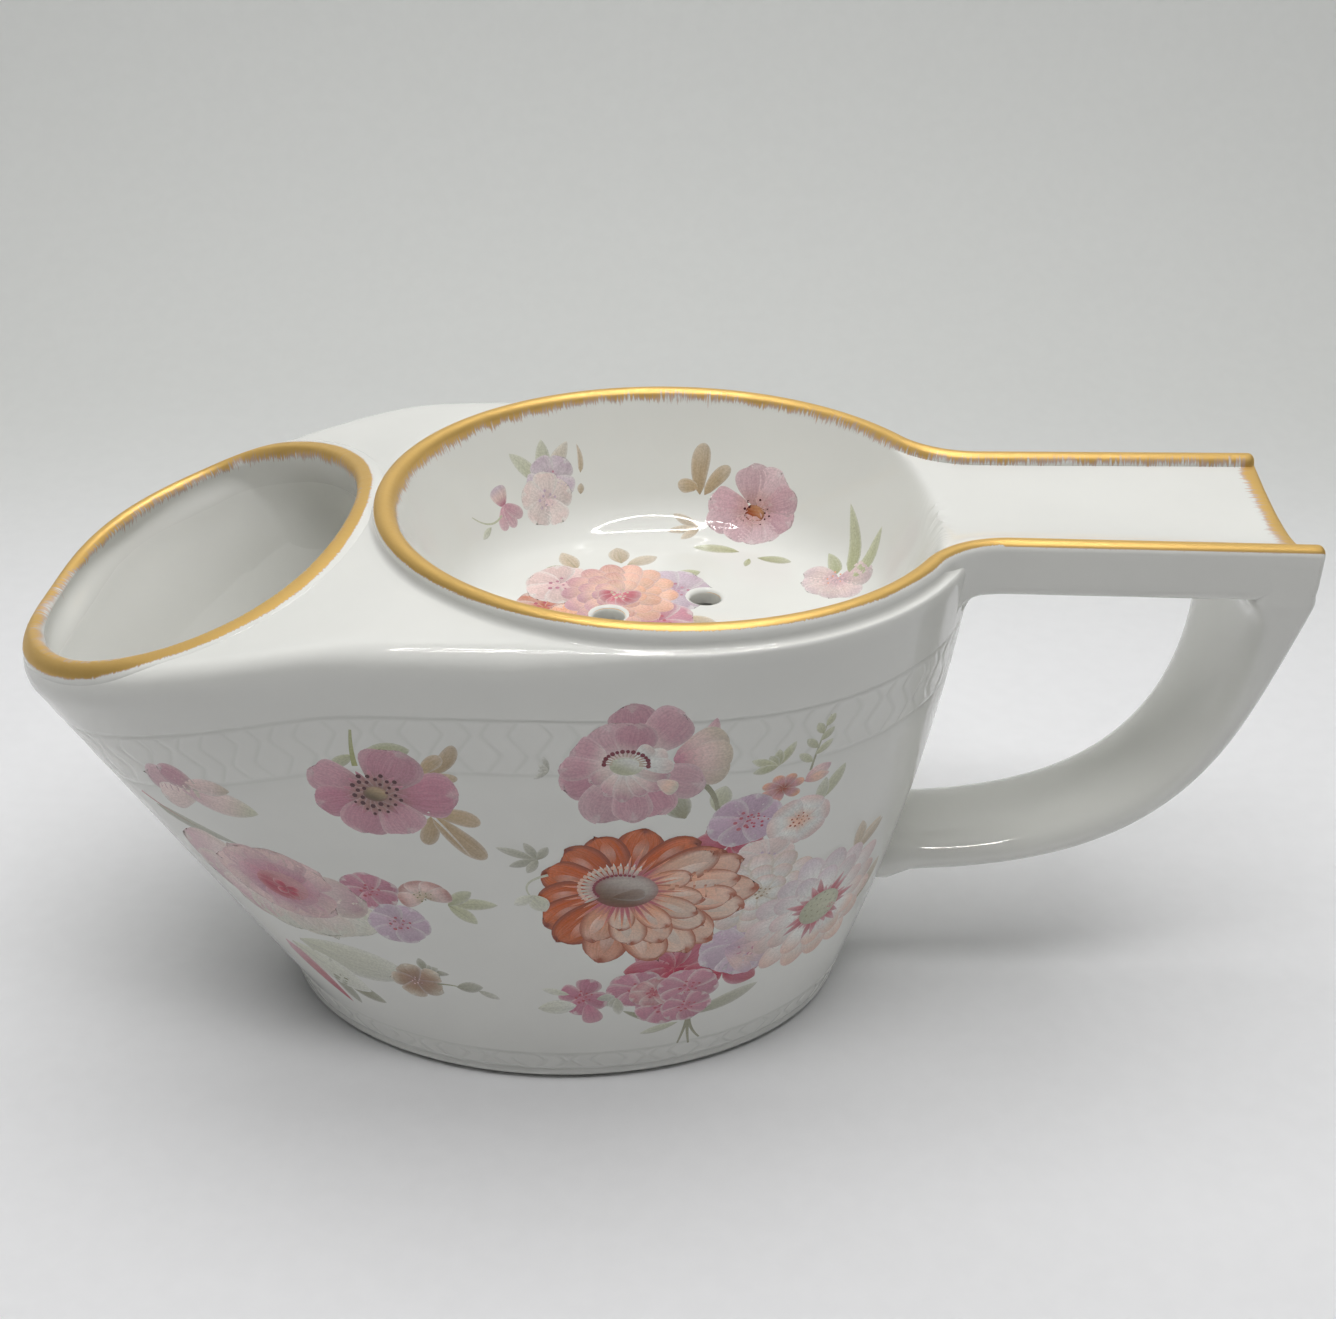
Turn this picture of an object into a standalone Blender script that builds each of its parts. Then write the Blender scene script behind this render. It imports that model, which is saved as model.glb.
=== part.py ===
"""Shaving scuttle in glazed porcelain: a spouted mug with a pierced soap bowl and a trough handle.

Metres, +Z up, +X towards the handle. The origin is under the middle of the object's length, on the
surface that it stands on. The body's sections are drawn round the upright axis of the soap bowl.
"""

import math

import bmesh
import bpy
from mathutils import Vector

MM = 0.001

# Whole object
LENGTH = 184.5 * MM
RIM_HEIGHT = 84.5 * MM
SPOUT_REACH = 93.8 * MM  # from the bowl's axis to the tip of the spout
HANDLE_REACH = LENGTH - SPOUT_REACH
BOWL_X = SPOUT_REACH - LENGTH / 2
WALL = 3.2 * MM
SEAM = 0.3 * MM  # slip joint between two castings
AROUND = 88  # points in each section of the body
CROWDING = 0.45  # how much closer the points stand at the far spout than at the handle
WALL_STEPS, INNER_STEPS = 7, 5  # rows of faces up the wall, outside and inside
MERGE = 0.01 * MM

# Oval foot
FOOT_SHIFT = 16.1 * MM  # its centre lies this far from the bowl's axis, towards the spout
FOOT_HALF_LENGTH = 45.3 * MM
FOOT_HALF_WIDTH = 32.6 * MM
FOOT_HEIGHT = 7.0 * MM
FOOT_FLARE = 1.4 * MM
FOOT_RING_WIDTH = 4.3 * MM
FOOT_EDGE = 2.2 * MM  # rounding of its lower edge
FOOT_RECESS = 1.8 * MM
FLOOR_HEIGHT = 5.0 * MM

# Shoulder, where the wall turns over into the deck
SHOULDER_RIGHT = 44.5 * MM
SHOULDER_HALF_WIDTH = 44.7 * MM
SPOUT_SQUARENESS = 3.2  # 2 would be an ellipse
SIDE_HEIGHT = 78.9 * MM
RIGHT_HEIGHT = 81.7 * MM
RISE_FROM, RISE_TO = -10.8 * MM, 13.0 * MM
SLOPE_FROM = -44.8 * MM  # the shoulder falls towards the spout from here
SLOPE_SOFTNESS = 6.0 * MM
DECK_TILT = math.radians(16.2)
DECK_THICKNESS = 3.0 * MM
EDGE_ROLL = 5.0 * MM
EDGE_DROP = 2.5 * MM
HANDLE_DROP = 0.1  # share of the drop that is left at the handle side
SKIRT_ROWS = (0.0, 0.4, 0.75)  # from the seam up to the shoulder
DECK_ROWS = (1.0, 0.975, 0.94, 0.9, 0.8, 0.65, 0.45, 0.22, 0.0)  # from the shoulder in to the bowl's seat
WALL_BULGE = 0.65  # at the handle side, fading to a straight wall under the spout
SKIRT = 7.0 * MM  # from the side shoulder down to the seam with the wall

# Brush mouth
MOUTH_X = -69.0 * MM  # from the bowl's axis
MOUTH_HEIGHT = 74.6 * MM
MOUTH_HALF_LENGTH = 22.6 * MM
MOUTH_HALF_WIDTH = 33.7 * MM
MOUTH_LIP = 1.2 * MM
MOUTH_CUT_DEPTH = 6.0 * MM
MOUTH_POINTS = 64
LIP_STEPS = 3

# Soap bowl
RIM_RADIUS = 43.0 * MM
LIP_WIDTH = 3.1 * MM
LEDGE_HEIGHT = RIM_HEIGHT - 2.4 * MM  # its rim hangs on the deck by this ledge
BOWL_WALL = 2.4 * MM
BOWL_FLOOR = 63.0 * MM
BOWL_FLOOR_RADIUS = 26.0 * MM
BOWL_BEND = 9.0 * MM
BOWL_SLOPE = math.radians(21.1)
BOWL_STEPS = 60
BEND_STEPS, RIM_STEPS = 4, 4
DRAIN_RING = 9.3 * MM
DRAIN_DIAMETER = 4.8 * MM
DRAIN_COUNT = 3
DRAIN_TURN = math.radians(53)
DRAIN_POINTS = 16

# Brush trough
TROUGH_END = 90.7 * MM  # from the bowl's axis
TROUGH_HALF_WIDTH = 16.9 * MM
TROUGH_FLARE = 0.0216  # gain in half width for each unit of length
TROUGH_BOTTOM = 75.9 * MM
TROUGH_FLOOR = 80.3 * MM  # at the middle of the shallow channel
CHANNEL_POWER = 2.4  # how its floor curves up to the lips: 2 would be a parabola
TROUGH_FILLET = 12.0 * MM  # plan radius between the bowl's rim and the trough's wall
TROUGH_CORNER = 2.0 * MM
FILLET_Y = TROUGH_HALF_WIDTH + TROUGH_FILLET  # the fillet's centre
FILLET_X = math.sqrt((RIM_RADIUS + TROUGH_FILLET) ** 2 - FILLET_Y**2)
# its lips leave the bowl's rim at this distance
TROUGH_ROOT = FILLET_X * (RIM_RADIUS - LIP_WIDTH) / (RIM_RADIUS + TROUGH_FILLET)
ROOT_SEAT = LEDGE_HEIGHT - 0.4 * MM  # the bowl's wall is cut to this height under the trough's lips
CUT_REACH = 60.0 * MM  # the cuts for the trough end in the open, past the shoulder
CHANNEL_STEPS, CORNER_STEPS, ROOT_STEPS, TROUGH_STEPS = 6, 3, 8, 3
CLOSE = 0.05 * MM

# Finger loop: guide points of its middle line, from the bowl's axis and the ground
LOOP_GUIDE = ((86.4, 75.6), (86.4, 46.8), (76.8, 24.5), (33.0, 24.9))
LOOP_HALF_THICKNESS = 4.1 * MM
LOOP_TOP_HALF_WIDTH = 16.9 * MM
LOOP_HALF_WIDTH = 8.7 * MM
LOOP_SQUARENESS = (7.0, 2.2)  # at its top, under the trough's corners, and further down
LOOP_ROUNDS = 0.13  # share of its length over which the section grows round
LOOP_CORNER = 3.5 * MM  # fillet under the trough
LOOP_CORNER_END = 0.09  # share of the loop's length at which the fillet has died out
LOOP_NARROWS = (-0.14, 0.68)  # shares of its length between which it narrows
LOOP_FOOT = (12.0 * MM, 36.0 * MM)  # heights between which its lower end meets the wall
LOOP_FOOT_STEPS = 4
LOOP_STATIONS = 20
LOOP_CROWDING = 1.3  # how much closer the stations stand under the trough
LOOP_POINTS = 24

WHITE = (0.86, 0.86, 0.84, 1.0)
GLAZE_ROUGHNESS = 0.12
SMOOTH_ANGLE = math.radians(38)


def ease(value, low, high):
    """0 below low and 1 above high, with a smooth change between them."""
    share = min(max((value - low) / (high - low), 0.0), 1.0)
    return share * share * (3 - 2 * share)


def soft_ramp(value, softness):
    """0 for values well below zero, and the value itself well above it."""
    return (value + math.hypot(value, softness)) / 2


def mix(start, end, share):
    return start + (end - start) * share


def signed_power(value, power):
    return math.copysign(abs(value) ** power, value)


def polar(angle, radius, height):
    return Vector((BOWL_X + radius * math.cos(angle), radius * math.sin(angle), height))


def body_angles():
    turns = (2 * math.pi * index / AROUND for index in range(AROUND))
    return [turn + CROWDING * math.sin(turn) for turn in turns]


def shoulder_radius(angle):
    """The shoulder's plan: round at the handle side, a blunt oval at the spout."""
    along, across = abs(math.cos(angle)), abs(math.sin(angle))
    reach, power = SPOUT_REACH, SPOUT_SQUARENESS
    if math.cos(angle) > 0:
        reach, power = SHOULDER_RIGHT, 2.0
    return ((along / reach) ** power + (across / SHOULDER_HALF_WIDTH) ** power) ** (-1 / power)


def foot_radius(angle, grow=0.0):
    """Where a ray from the bowl's axis meets the foot's oval, grown by this much all round."""
    half_length, half_width = FOOT_HALF_LENGTH + grow, FOOT_HALF_WIDTH + grow
    along, across = math.cos(angle), math.sin(angle)
    square = (along / half_length) ** 2 + (across / half_width) ** 2
    linear = along * FOOT_SHIFT / half_length**2
    rest = (FOOT_SHIFT / half_length) ** 2 - 1
    return (math.sqrt(linear**2 - square * rest) - linear) / square


def side_height(angle):
    """The shoulder's height at the sides, falling towards the spout."""
    x = shoulder_radius(angle) * math.cos(angle)
    return SIDE_HEIGHT - math.tan(DECK_TILT) * soft_ramp(SLOPE_FROM - x, SLOPE_SOFTNESS)


def handle_side(angle):
    """1 where the wall rises straight into the bowl's rim, 0 along the deck."""
    return ease(shoulder_radius(angle) * math.cos(angle), RISE_FROM, RISE_TO)


def shoulder_height(angle):
    return side_height(angle) + (RIGHT_HEIGHT - SIDE_HEIGHT) * handle_side(angle)


def seam_height(angle):
    return side_height(angle) - SKIRT


def wall_radius(angle, height):
    """The wall's outer radius: a loft from the foot to the shoulder, fuller at the handle side."""
    foot = foot_radius(angle, FOOT_FLARE)
    share = (height - FOOT_HEIGHT) / (shoulder_height(angle) - FOOT_HEIGHT)
    bulge = WALL_BULGE * (1 + math.cos(angle)) / 2
    return mix(foot, shoulder_radius(angle), share + bulge * share * (1 - share))


def inner_radius(angle, height):
    """The wall's inner radius: its thickness is measured square to the outline, clear of the bowl."""
    step = math.radians(0.5)
    change = wall_radius(angle + step, height) - wall_radius(angle - step, height)
    outer = wall_radius(angle, height)
    lean = math.hypot(1, change / (2 * step * outer))
    return max(outer - WALL * lean, bowl_outer_radius(height) + 2 * SEAM)


def bowl_outer_radius(height):
    """The outside of the bowl's sloping wall, as used above its bend."""
    down = RIM_HEIGHT - LIP_WIDTH / 2 - height
    inside = RIM_RADIUS - LIP_WIDTH - down * math.tan(BOWL_SLOPE)
    return inside + BOWL_WALL / math.cos(BOWL_SLOPE)


def deck_height(angle, radius):
    """The deck's top: it slopes from the bowl's seat to the shoulder, where it rolls over."""
    seat, edge = bowl_outer_radius(LEDGE_HEIGHT) + SEAM, shoulder_radius(angle)
    drop = EDGE_DROP * mix(1.0, HANDLE_DROP, handle_side(angle))
    line = mix(LEDGE_HEIGHT - SEAM, shoulder_height(angle) + drop, (radius - seat) / (edge - seat))
    roll = max(1 - (edge - radius) / min(EDGE_ROLL, edge - seat), 0.0)
    return line - drop * roll**2


def new_material(name):
    material = bpy.data.materials.new(name)
    material.use_nodes = True
    shader = material.node_tree.nodes["Principled BSDF"]
    shader.inputs["Base Color"].default_value = WHITE
    shader.inputs["Roughness"].default_value = GLAZE_ROUGHNESS
    shader.inputs["Metallic"].default_value = 0.0
    return material


def new_object(name, bm):
    bmesh.ops.recalc_face_normals(bm, faces=bm.faces)
    mesh = bpy.data.meshes.new(name)
    bm.to_mesh(mesh)
    bm.free()
    mesh.shade_smooth()
    mesh.set_sharp_from_angle(angle=SMOOTH_ANGLE)
    mesh.materials.append(new_material(name + "_porcelain"))
    part = bpy.data.objects.new(name, mesh)
    bpy.context.scene.collection.objects.link(part)
    return part


def new_cutter(name, bm):
    cutter = new_object(name, bm)
    cutter.hide_render = True
    cutter.display_type = "WIRE"
    return cutter


def cut(part, cutter):
    boolean = part.modifiers.new("cut_" + cutter.name, "BOOLEAN")
    boolean.operation = "DIFFERENCE"
    boolean.solver = "EXACT"
    boolean.object = cutter


def add_loop(bm, points):
    """A closed ring of edges through the points."""
    vertices = [bm.verts.new(point) for point in points]
    pairs = zip(vertices, vertices[1:] + vertices[:1])
    return [bm.edges.new(pair) for pair in pairs]


def loft(sections, ring):
    """A skin over closed sections: the ends are capped, or a ring's last section joins its first."""
    bm = bmesh.new()
    loops = [add_loop(bm, section) for section in sections]
    followers = loops[1:] + loops[:1] if ring else loops[1:]
    for first, second in zip(loops, followers):
        bmesh.ops.bridge_loops(bm, edges=first + second)
    if not ring:
        bmesh.ops.edgeloop_fill(bm, edges=loops[0])
        bmesh.ops.edgeloop_fill(bm, edges=loops[-1])
    return bm


def turned(profile, steps):
    """A solid of revolution about the bowl's axis, from a profile of radii and heights."""
    bm = bmesh.new()
    vertices = [bm.verts.new(polar(0.0, radius, height)) for radius, height in profile]
    edges = [bm.edges.new(pair) for pair in zip(vertices, vertices[1:])]
    centre = Vector((BOWL_X, 0.0, 0.0))
    bmesh.ops.spin(
        bm, geom=vertices + edges, cent=centre, axis=(0, 0, 1), angle=2 * math.pi, steps=steps, use_merge=True
    )
    bmesh.ops.remove_doubles(bm, verts=bm.verts, dist=MERGE)
    return bm


def foot_base():
    """The floor of the water chamber, with a foot ring below and the foot band outside."""
    ring_inside = -FOOT_EDGE - FOOT_RING_WIDTH
    bevel = FOOT_EDGE * (1 - math.cos(math.pi / 4))
    steps = (
        (-WALL - FOOT_EDGE, FLOOR_HEIGHT),
        (FOOT_FLARE - WALL, FOOT_HEIGHT),
        (FOOT_FLARE, FOOT_HEIGHT),
        (0.0, FOOT_EDGE),
        (-bevel, bevel),
        (-FOOT_EDGE, 0.0),
        (ring_inside, 0.0),
        (ring_inside - FOOT_RECESS / 2, FOOT_RECESS),
    )
    sections = [[polar(a, foot_radius(a, grow), height) for a in body_angles()] for grow, height in steps]
    return new_object("foot_base", loft(sections, ring=False))


def body_wall():
    """The tub wall between the foot band and the shoulder casting."""
    low = FOOT_HEIGHT + SEAM

    def section(radius_at, share):
        heights = [(a, mix(low, seam_height(a) - SEAM, share)) for a in body_angles()]
        return [polar(a, radius_at(a, height), height) for a, height in heights]

    outer = [section(wall_radius, step / WALL_STEPS) for step in range(WALL_STEPS + 1)]
    inner = [section(inner_radius, 1 - step / INNER_STEPS) for step in range(INNER_STEPS + 1)]
    return new_object("body_wall", loft(outer + inner, ring=True))


def shoulder_deck(mouth, notch):
    """Skirt, rolled shoulder and sloping deck, with the brush mouth and the handle's notch cut out."""
    angles = body_angles()
    seat_top = bowl_outer_radius(LEDGE_HEIGHT) + SEAM
    seat_under = seat_top - DECK_THICKNESS * math.tan(BOWL_SLOPE)
    sections = []
    for share in SKIRT_ROWS:
        heights = [(a, mix(seam_height(a), shoulder_height(a), share)) for a in angles]
        sections.append([polar(a, wall_radius(a, height), height) for a, height in heights])
    for share in DECK_ROWS:
        radii = [(a, mix(seat_top, shoulder_radius(a), share)) for a in angles]
        sections.append([polar(a, radius, deck_height(a, radius)) for a, radius in radii])

    def under(angle, share):
        height = deck_height(angle, seat_top) - DECK_THICKNESS
        corner = deck_height(angle, shoulder_radius(angle) - WALL) - DECK_THICKNESS
        edge = max(inner_radius(angle, corner), seat_under + SEAM)
        return polar(angle, mix(seat_under, edge, share), mix(height, corner, share))

    for share in (0.0, 0.5, 1.0):
        sections.append([under(a, share) for a in angles])
    sections.append([polar(a, inner_radius(a, seam_height(a)), seam_height(a)) for a in angles])
    deck = new_object("shoulder_deck", loft(sections, ring=True))
    cut(deck, mouth)
    cut(deck, notch)
    return deck


def mouth_cutter():
    """The mouth's tilted oval, flared at the top so that it leaves a rounded lip."""
    bend = [math.pi / 2 * step / LIP_STEPS for step in range(1, LIP_STEPS + 1)]
    rises = [(0.0, -MOUTH_CUT_DEPTH), (0.0, -MOUTH_LIP)]
    rises += [(MOUTH_LIP * (1 - math.cos(turn)), MOUTH_LIP * (math.sin(turn) - 1)) for turn in bend]
    rises += [(2 * MOUTH_LIP, 2 * MOUTH_LIP)]
    slope = Vector((math.cos(DECK_TILT), 0.0, math.sin(DECK_TILT)))
    normal = Vector((-math.sin(DECK_TILT), 0.0, math.cos(DECK_TILT)))
    centre = Vector((BOWL_X + MOUTH_X, 0.0, MOUTH_HEIGHT))
    sections = []
    for grow, rise in rises:
        turns = [2 * math.pi * index / MOUTH_POINTS for index in range(MOUTH_POINTS)]
        level = centre + normal * rise
        along = slope * (MOUTH_HALF_LENGTH + grow)
        across = Vector((0.0, MOUTH_HALF_WIDTH + grow, 0.0))
        sections.append([level + along * math.cos(turn) + across * math.sin(turn) for turn in turns])
    return new_cutter("mouth_shape", loft(sections, ring=False))


def dish(offset):
    """The bowl's floor, bend and sloping wall up to the lip's level, moved out by an offset."""
    bend_height = BOWL_FLOOR + BOWL_BEND
    turns = [(math.pi / 2 - BOWL_SLOPE) * step / BEND_STEPS for step in range(BEND_STEPS + 1)]
    reach = BOWL_BEND + offset
    profile = [(0.0, BOWL_FLOOR - offset)]
    profile += [
        (BOWL_FLOOR_RADIUS + reach * math.sin(turn), bend_height - reach * math.cos(turn)) for turn in turns
    ]
    return profile


def soap_bowl(channel, root):
    """The dish on its rim ledge, with drain holes, its rim cut away where the trough's lips begin."""
    lip = LIP_WIDTH / 2
    turns = [math.pi * (1 - step / RIM_STEPS) for step in range(RIM_STEPS + 1)]
    middle = RIM_RADIUS - lip
    rim = [(middle + lip * math.cos(turn), RIM_HEIGHT - lip + lip * math.sin(turn)) for turn in turns]
    ledge = [(RIM_RADIUS, LEDGE_HEIGHT), (bowl_outer_radius(LEDGE_HEIGHT), LEDGE_HEIGHT)]
    profile = dish(0.0) + rim + ledge + dish(BOWL_WALL)[::-1]
    bowl = new_object("soap_bowl", turned(profile, BOWL_STEPS))
    cut(bowl, channel)
    cut(bowl, root)
    radius, depth = DRAIN_DIAMETER / 2, 4 * BOWL_WALL
    for index in range(DRAIN_COUNT):
        turn = DRAIN_TURN + 2 * math.pi * index / DRAIN_COUNT
        bm = bmesh.new()
        bmesh.ops.create_cone(
            bm, cap_ends=True, segments=DRAIN_POINTS, radius1=radius, radius2=radius, depth=depth
        )
        bmesh.ops.translate(bm, verts=bm.verts, vec=polar(turn, DRAIN_RING, BOWL_FLOOR))
        cut(bowl, new_cutter(f"drain_shape_{index + 1}", bm))
    return bowl


def trough_half_width(x, inset):
    """Half the trough's width at a distance from the bowl's axis, on a line this far inside its edge.

    From the bowl the line follows the rim's circle, then a plan fillet, then the trough's wall.
    """
    circle, fillet = RIM_RADIUS - inset, TROUGH_FILLET + inset
    if x >= FILLET_X:
        return TROUGH_HALF_WIDTH - inset + TROUGH_FLARE * (x - FILLET_X)
    if x >= FILLET_X * circle / (circle + fillet):
        return FILLET_Y - math.sqrt(fillet**2 - (FILLET_X - x) ** 2)
    return math.sqrt(circle**2 - x**2) - CLOSE


def arc(y, z, half_width, half_height, start, end, steps):
    """Points on an arc of an ellipse about a centre, between two angles in degrees."""
    turns = [math.radians(mix(start, end, step / steps)) for step in range(steps + 1)]
    return [(y + half_width * math.cos(turn), z + half_height * math.sin(turn)) for turn in turns]


def mirrored(half):
    """A closed outline from its right half, which starts and ends on the middle line."""
    return half + [(-y, z) for y, z in reversed(half) if y > 0]


def channel_half(x):
    """The channel's curved floor, from below the lip to the middle."""
    side, edge = trough_half_width(x, LIP_WIDTH), RIM_HEIGHT - LIP_WIDTH / 2
    shares = [1 - step / CHANNEL_STEPS for step in range(1, CHANNEL_STEPS + 1)]
    return [(side * share, mix(TROUGH_FLOOR, edge, share**CHANNEL_POWER)) for share in shares]


def trough_section(x):
    """The section of the trough: rounded lips, a shallow channel and rounded lower corners."""
    outer, inner, lip = trough_half_width(x, 0.0), trough_half_width(x, LIP_WIDTH), LIP_WIDTH / 2
    half = [(0.0, TROUGH_BOTTOM)]
    corner = TROUGH_CORNER
    half += arc(outer - corner, TROUGH_BOTTOM + corner, corner, corner, -90, 0, CORNER_STEPS)
    half += arc((outer + inner) / 2, RIM_HEIGHT - lip, (outer - inner) / 2, lip, 0, 180, RIM_STEPS)
    half += channel_half(x)
    return [Vector((BOWL_X + x, y, z)) for y, z in mirrored(half)]


def trough_stations(first, last):
    """Distances from the bowl's axis, close together where the plan fillet bends."""
    bends = [mix(first, FILLET_X, step / ROOT_STEPS) for step in range(ROOT_STEPS + 1)]
    return bends + [mix(FILLET_X, last, step / TROUGH_STEPS) for step in range(1, TROUGH_STEPS + 1)]


def brush_trough(seat):
    """The trough, whose lips reach in over the bowl's wall to carry its rim on."""
    sections = [trough_section(x) for x in trough_stations(TROUGH_ROOT, TROUGH_END)]
    trough = new_object("brush_trough", loft(sections, ring=False))
    cut(trough, seat)
    return trough


def channel_cutter():
    """The trough's channel carried on through the bowl's rim."""
    top = RIM_HEIGHT + 2 * LIP_WIDTH
    sections = []
    for x in trough_stations(TROUGH_ROOT - LIP_WIDTH, CUT_REACH):
        inner = trough_half_width(x, LIP_WIDTH)
        half = [(0.0, top), (inner, top), (inner, RIM_HEIGHT - LIP_WIDTH / 2)] + channel_half(x)
        sections.append([Vector((BOWL_X + x, y, z)) for y, z in mirrored(half)])
    return new_cutter("channel_shape", loft(sections, ring=False))


def notch_cutter(name, low):
    """Room for the trough's inner end, above a height."""
    top = RIM_HEIGHT + LIP_WIDTH
    sections = []
    for x in trough_stations(TROUGH_ROOT - SEAM, CUT_REACH):
        side = trough_half_width(x, 0.0) + SEAM
        outline = ((side, low), (side, top), (-side, top), (-side, low))
        sections.append([Vector((BOWL_X + x, y, z)) for y, z in outline])
    return new_cutter(name, loft(sections, ring=False))


def seat_cutter():
    """The bowl's hollow and wall with a seam's room, which the trough's inner end is cut to."""
    top, step, bottom = RIM_HEIGHT + LIP_WIDTH, ROOT_SEAT + SEAM, TROUGH_BOTTOM - LIP_WIDTH
    inside, crest = RIM_RADIUS - LIP_WIDTH - CLOSE, RIM_HEIGHT - LIP_WIDTH / 2
    profile = [
        (0.0, top),
        (inside, top),
        (inside, crest),
        (inside - (crest - step) * math.tan(BOWL_SLOPE), step),
        (bowl_outer_radius(step) + SEAM, step),
        (bowl_outer_radius(bottom) + SEAM, bottom),
        (0.0, bottom),
    ]
    return new_cutter("seat_shape", turned(profile, BOWL_STEPS))


def wall_cutter():
    """The wall's outside with a seam's room, which the loop's lower end is cut to."""
    heights = [mix(*LOOP_FOOT, step / LOOP_FOOT_STEPS) for step in range(LOOP_FOOT_STEPS + 1)]
    angles = body_angles()
    sections = [[polar(a, wall_radius(a, height) + SEAM, height) for a in angles] for height in heights]
    return new_cutter("wall_shape", loft(sections, ring=False))


def bezier(share):
    """A point of the loop's middle line, and the direction in which the line runs there."""
    guide = [Vector((BOWL_X + x * MM, 0.0, z * MM)) for x, z in LOOP_GUIDE]
    rest = 1 - share
    start, first, second, end = guide
    point = rest**3 * start + 3 * rest**2 * share * first + 3 * rest * share**2 * second + share**3 * end
    along = rest**2 * (first - start) + 2 * rest * share * (second - first) + share**2 * (end - second)
    return point, along.normalized()


def finger_loop(wall):
    """A strap as wide as the trough at its top, narrowing downwards, with a fillet under the trough."""
    turns = [2 * math.pi * index / LOOP_POINTS for index in range(LOOP_POINTS)]
    sections = []
    for station in range(LOOP_STATIONS + 1):
        share = (station / LOOP_STATIONS) ** LOOP_CROWDING
        point, along = bezier(share)
        inward = Vector((0.0, 1.0, 0.0)).cross(along)
        half_width = mix(LOOP_TOP_HALF_WIDTH, LOOP_HALF_WIDTH, ease(share, *LOOP_NARROWS))
        power = 2 / mix(*LOOP_SQUARENESS, ease(share, 0.0, LOOP_ROUNDS))
        fillet = LOOP_CORNER * max(1 - share / LOOP_CORNER_END, 0.0) ** 2
        section = []
        for turn in turns:
            across = half_width * signed_power(math.cos(turn), power)
            depth = LOOP_HALF_THICKNESS * signed_power(math.sin(turn), power)
            depth += fillet * max(math.sin(turn), 0.0)
            section.append(point + Vector((0.0, across, 0.0)) + inward * depth)
        sections.append(section)
    loop = new_object("finger_loop", loft(sections, ring=False))
    cut(loop, wall)
    return loop


def main():
    for old in list(bpy.data.objects):
        bpy.data.objects.remove(old)
    parts = [
        foot_base(),
        body_wall(),
        shoulder_deck(mouth_cutter(), notch_cutter("notch_shape", TROUGH_BOTTOM - SEAM)),
        soap_bowl(channel_cutter(), notch_cutter("root_shape", ROOT_SEAT)),
        brush_trough(seat_cutter()),
        finger_loop(wall_cutter()),
    ]
    scuttle = bpy.data.objects.new("scuttle", None)
    bpy.context.scene.collection.objects.link(scuttle)
    for part in parts:
        part.parent = scuttle


main()
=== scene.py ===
"""Gilded porcelain shaving scuttle with printed flowers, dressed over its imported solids."""

import math
from functools import partial

import bmesh
import bpy
import numpy as np
from mathutils import Matrix, Vector


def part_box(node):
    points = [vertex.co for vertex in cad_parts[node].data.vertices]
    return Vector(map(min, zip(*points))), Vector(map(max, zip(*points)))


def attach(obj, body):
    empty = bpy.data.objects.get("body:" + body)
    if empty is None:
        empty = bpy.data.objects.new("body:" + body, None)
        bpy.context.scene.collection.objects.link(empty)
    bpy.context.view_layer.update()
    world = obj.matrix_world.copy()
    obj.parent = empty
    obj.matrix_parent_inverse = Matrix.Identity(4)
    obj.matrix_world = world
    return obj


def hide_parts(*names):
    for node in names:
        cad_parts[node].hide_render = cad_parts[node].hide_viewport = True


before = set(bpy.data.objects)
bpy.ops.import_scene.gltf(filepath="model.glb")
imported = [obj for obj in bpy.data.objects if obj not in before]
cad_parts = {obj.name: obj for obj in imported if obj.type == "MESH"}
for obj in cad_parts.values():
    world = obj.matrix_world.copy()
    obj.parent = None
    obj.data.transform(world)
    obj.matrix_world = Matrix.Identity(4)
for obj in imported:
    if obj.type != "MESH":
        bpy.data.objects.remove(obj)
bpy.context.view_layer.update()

bl_info = {
    "name": "Shaving Scuttle",
    "version": (1, 0, 0),
    "blender": (4, 5, 0),
    "location": "View3D > Sidebar > Scuttle",
    "description": "Builds a gilded porcelain shaving scuttle with printed flowers",
    "category": "Add Mesh",
}

MM = 0.001
BODY = "root"
TINY = 1e-9
SMOOTH_BELOW = math.radians(60)
CUT_SMOOTH_BELOW = math.radians(50)

# The solids' own places and sizes
BOWL_LOW, BOWL_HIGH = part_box("soap_bowl")
BOWL_X = 1.55 * MM
RIM_RADIUS = (BOWL_HIGH.y - BOWL_LOW.y) / 2
RIM_HEIGHT = BOWL_HIGH.z
TROUGH_END = 89.8 * MM

# Body, measured from the soap bowl's upright axis
CROWDING = 0.45
AROUND = 640
BORDER_AROUND = 1280
WALL = 3.2 * MM
FOOT_SHIFT = 16.1 * MM
FOOT_HALF_LENGTH = 45.3 * MM
FOOT_HALF_WIDTH = 32.6 * MM
FOOT_HEIGHT = 7.0 * MM
FOOT_FLARE = 1.4 * MM
FOOT_EDGE = 2.2 * MM
FOOT_RING = 4.3 * MM
FOOT_RECESS = 1.8 * MM
FLOOR_HEIGHT = 6.95 * MM
FLOOR_ROUND = 12.0 * MM
SPOUT_REACH = 93.8 * MM
SPOUT_SQUARENESS = 3.2
SHOULDER_RIGHT = 44.5 * MM
SHOULDER_HALF_WIDTH = 44.7 * MM
SIDE_HEIGHT = 78.9 * MM
RIGHT_HEIGHT = 81.7 * MM
RISE_FROM, RISE_TO = -10.8 * MM, 13.0 * MM
SLOPE_FROM = -44.8 * MM
SLOPE_SOFTNESS = 6.0 * MM
DECK_TILT = math.radians(16.2)
DECK_THICKNESS = 3.0 * MM
SEAT_HEIGHT = 81.8 * MM
SEAT_RADIUS = 42.4 * MM
EDGE_DROP = 2.5 * MM
EDGE_DROP_LOST = 0.9
WALL_BULGE = 0.65
SKIRT = 7.0 * MM
BOWL_CLEARANCE = 0.6 * MM
SLOPE_STEP = 0.01

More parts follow.
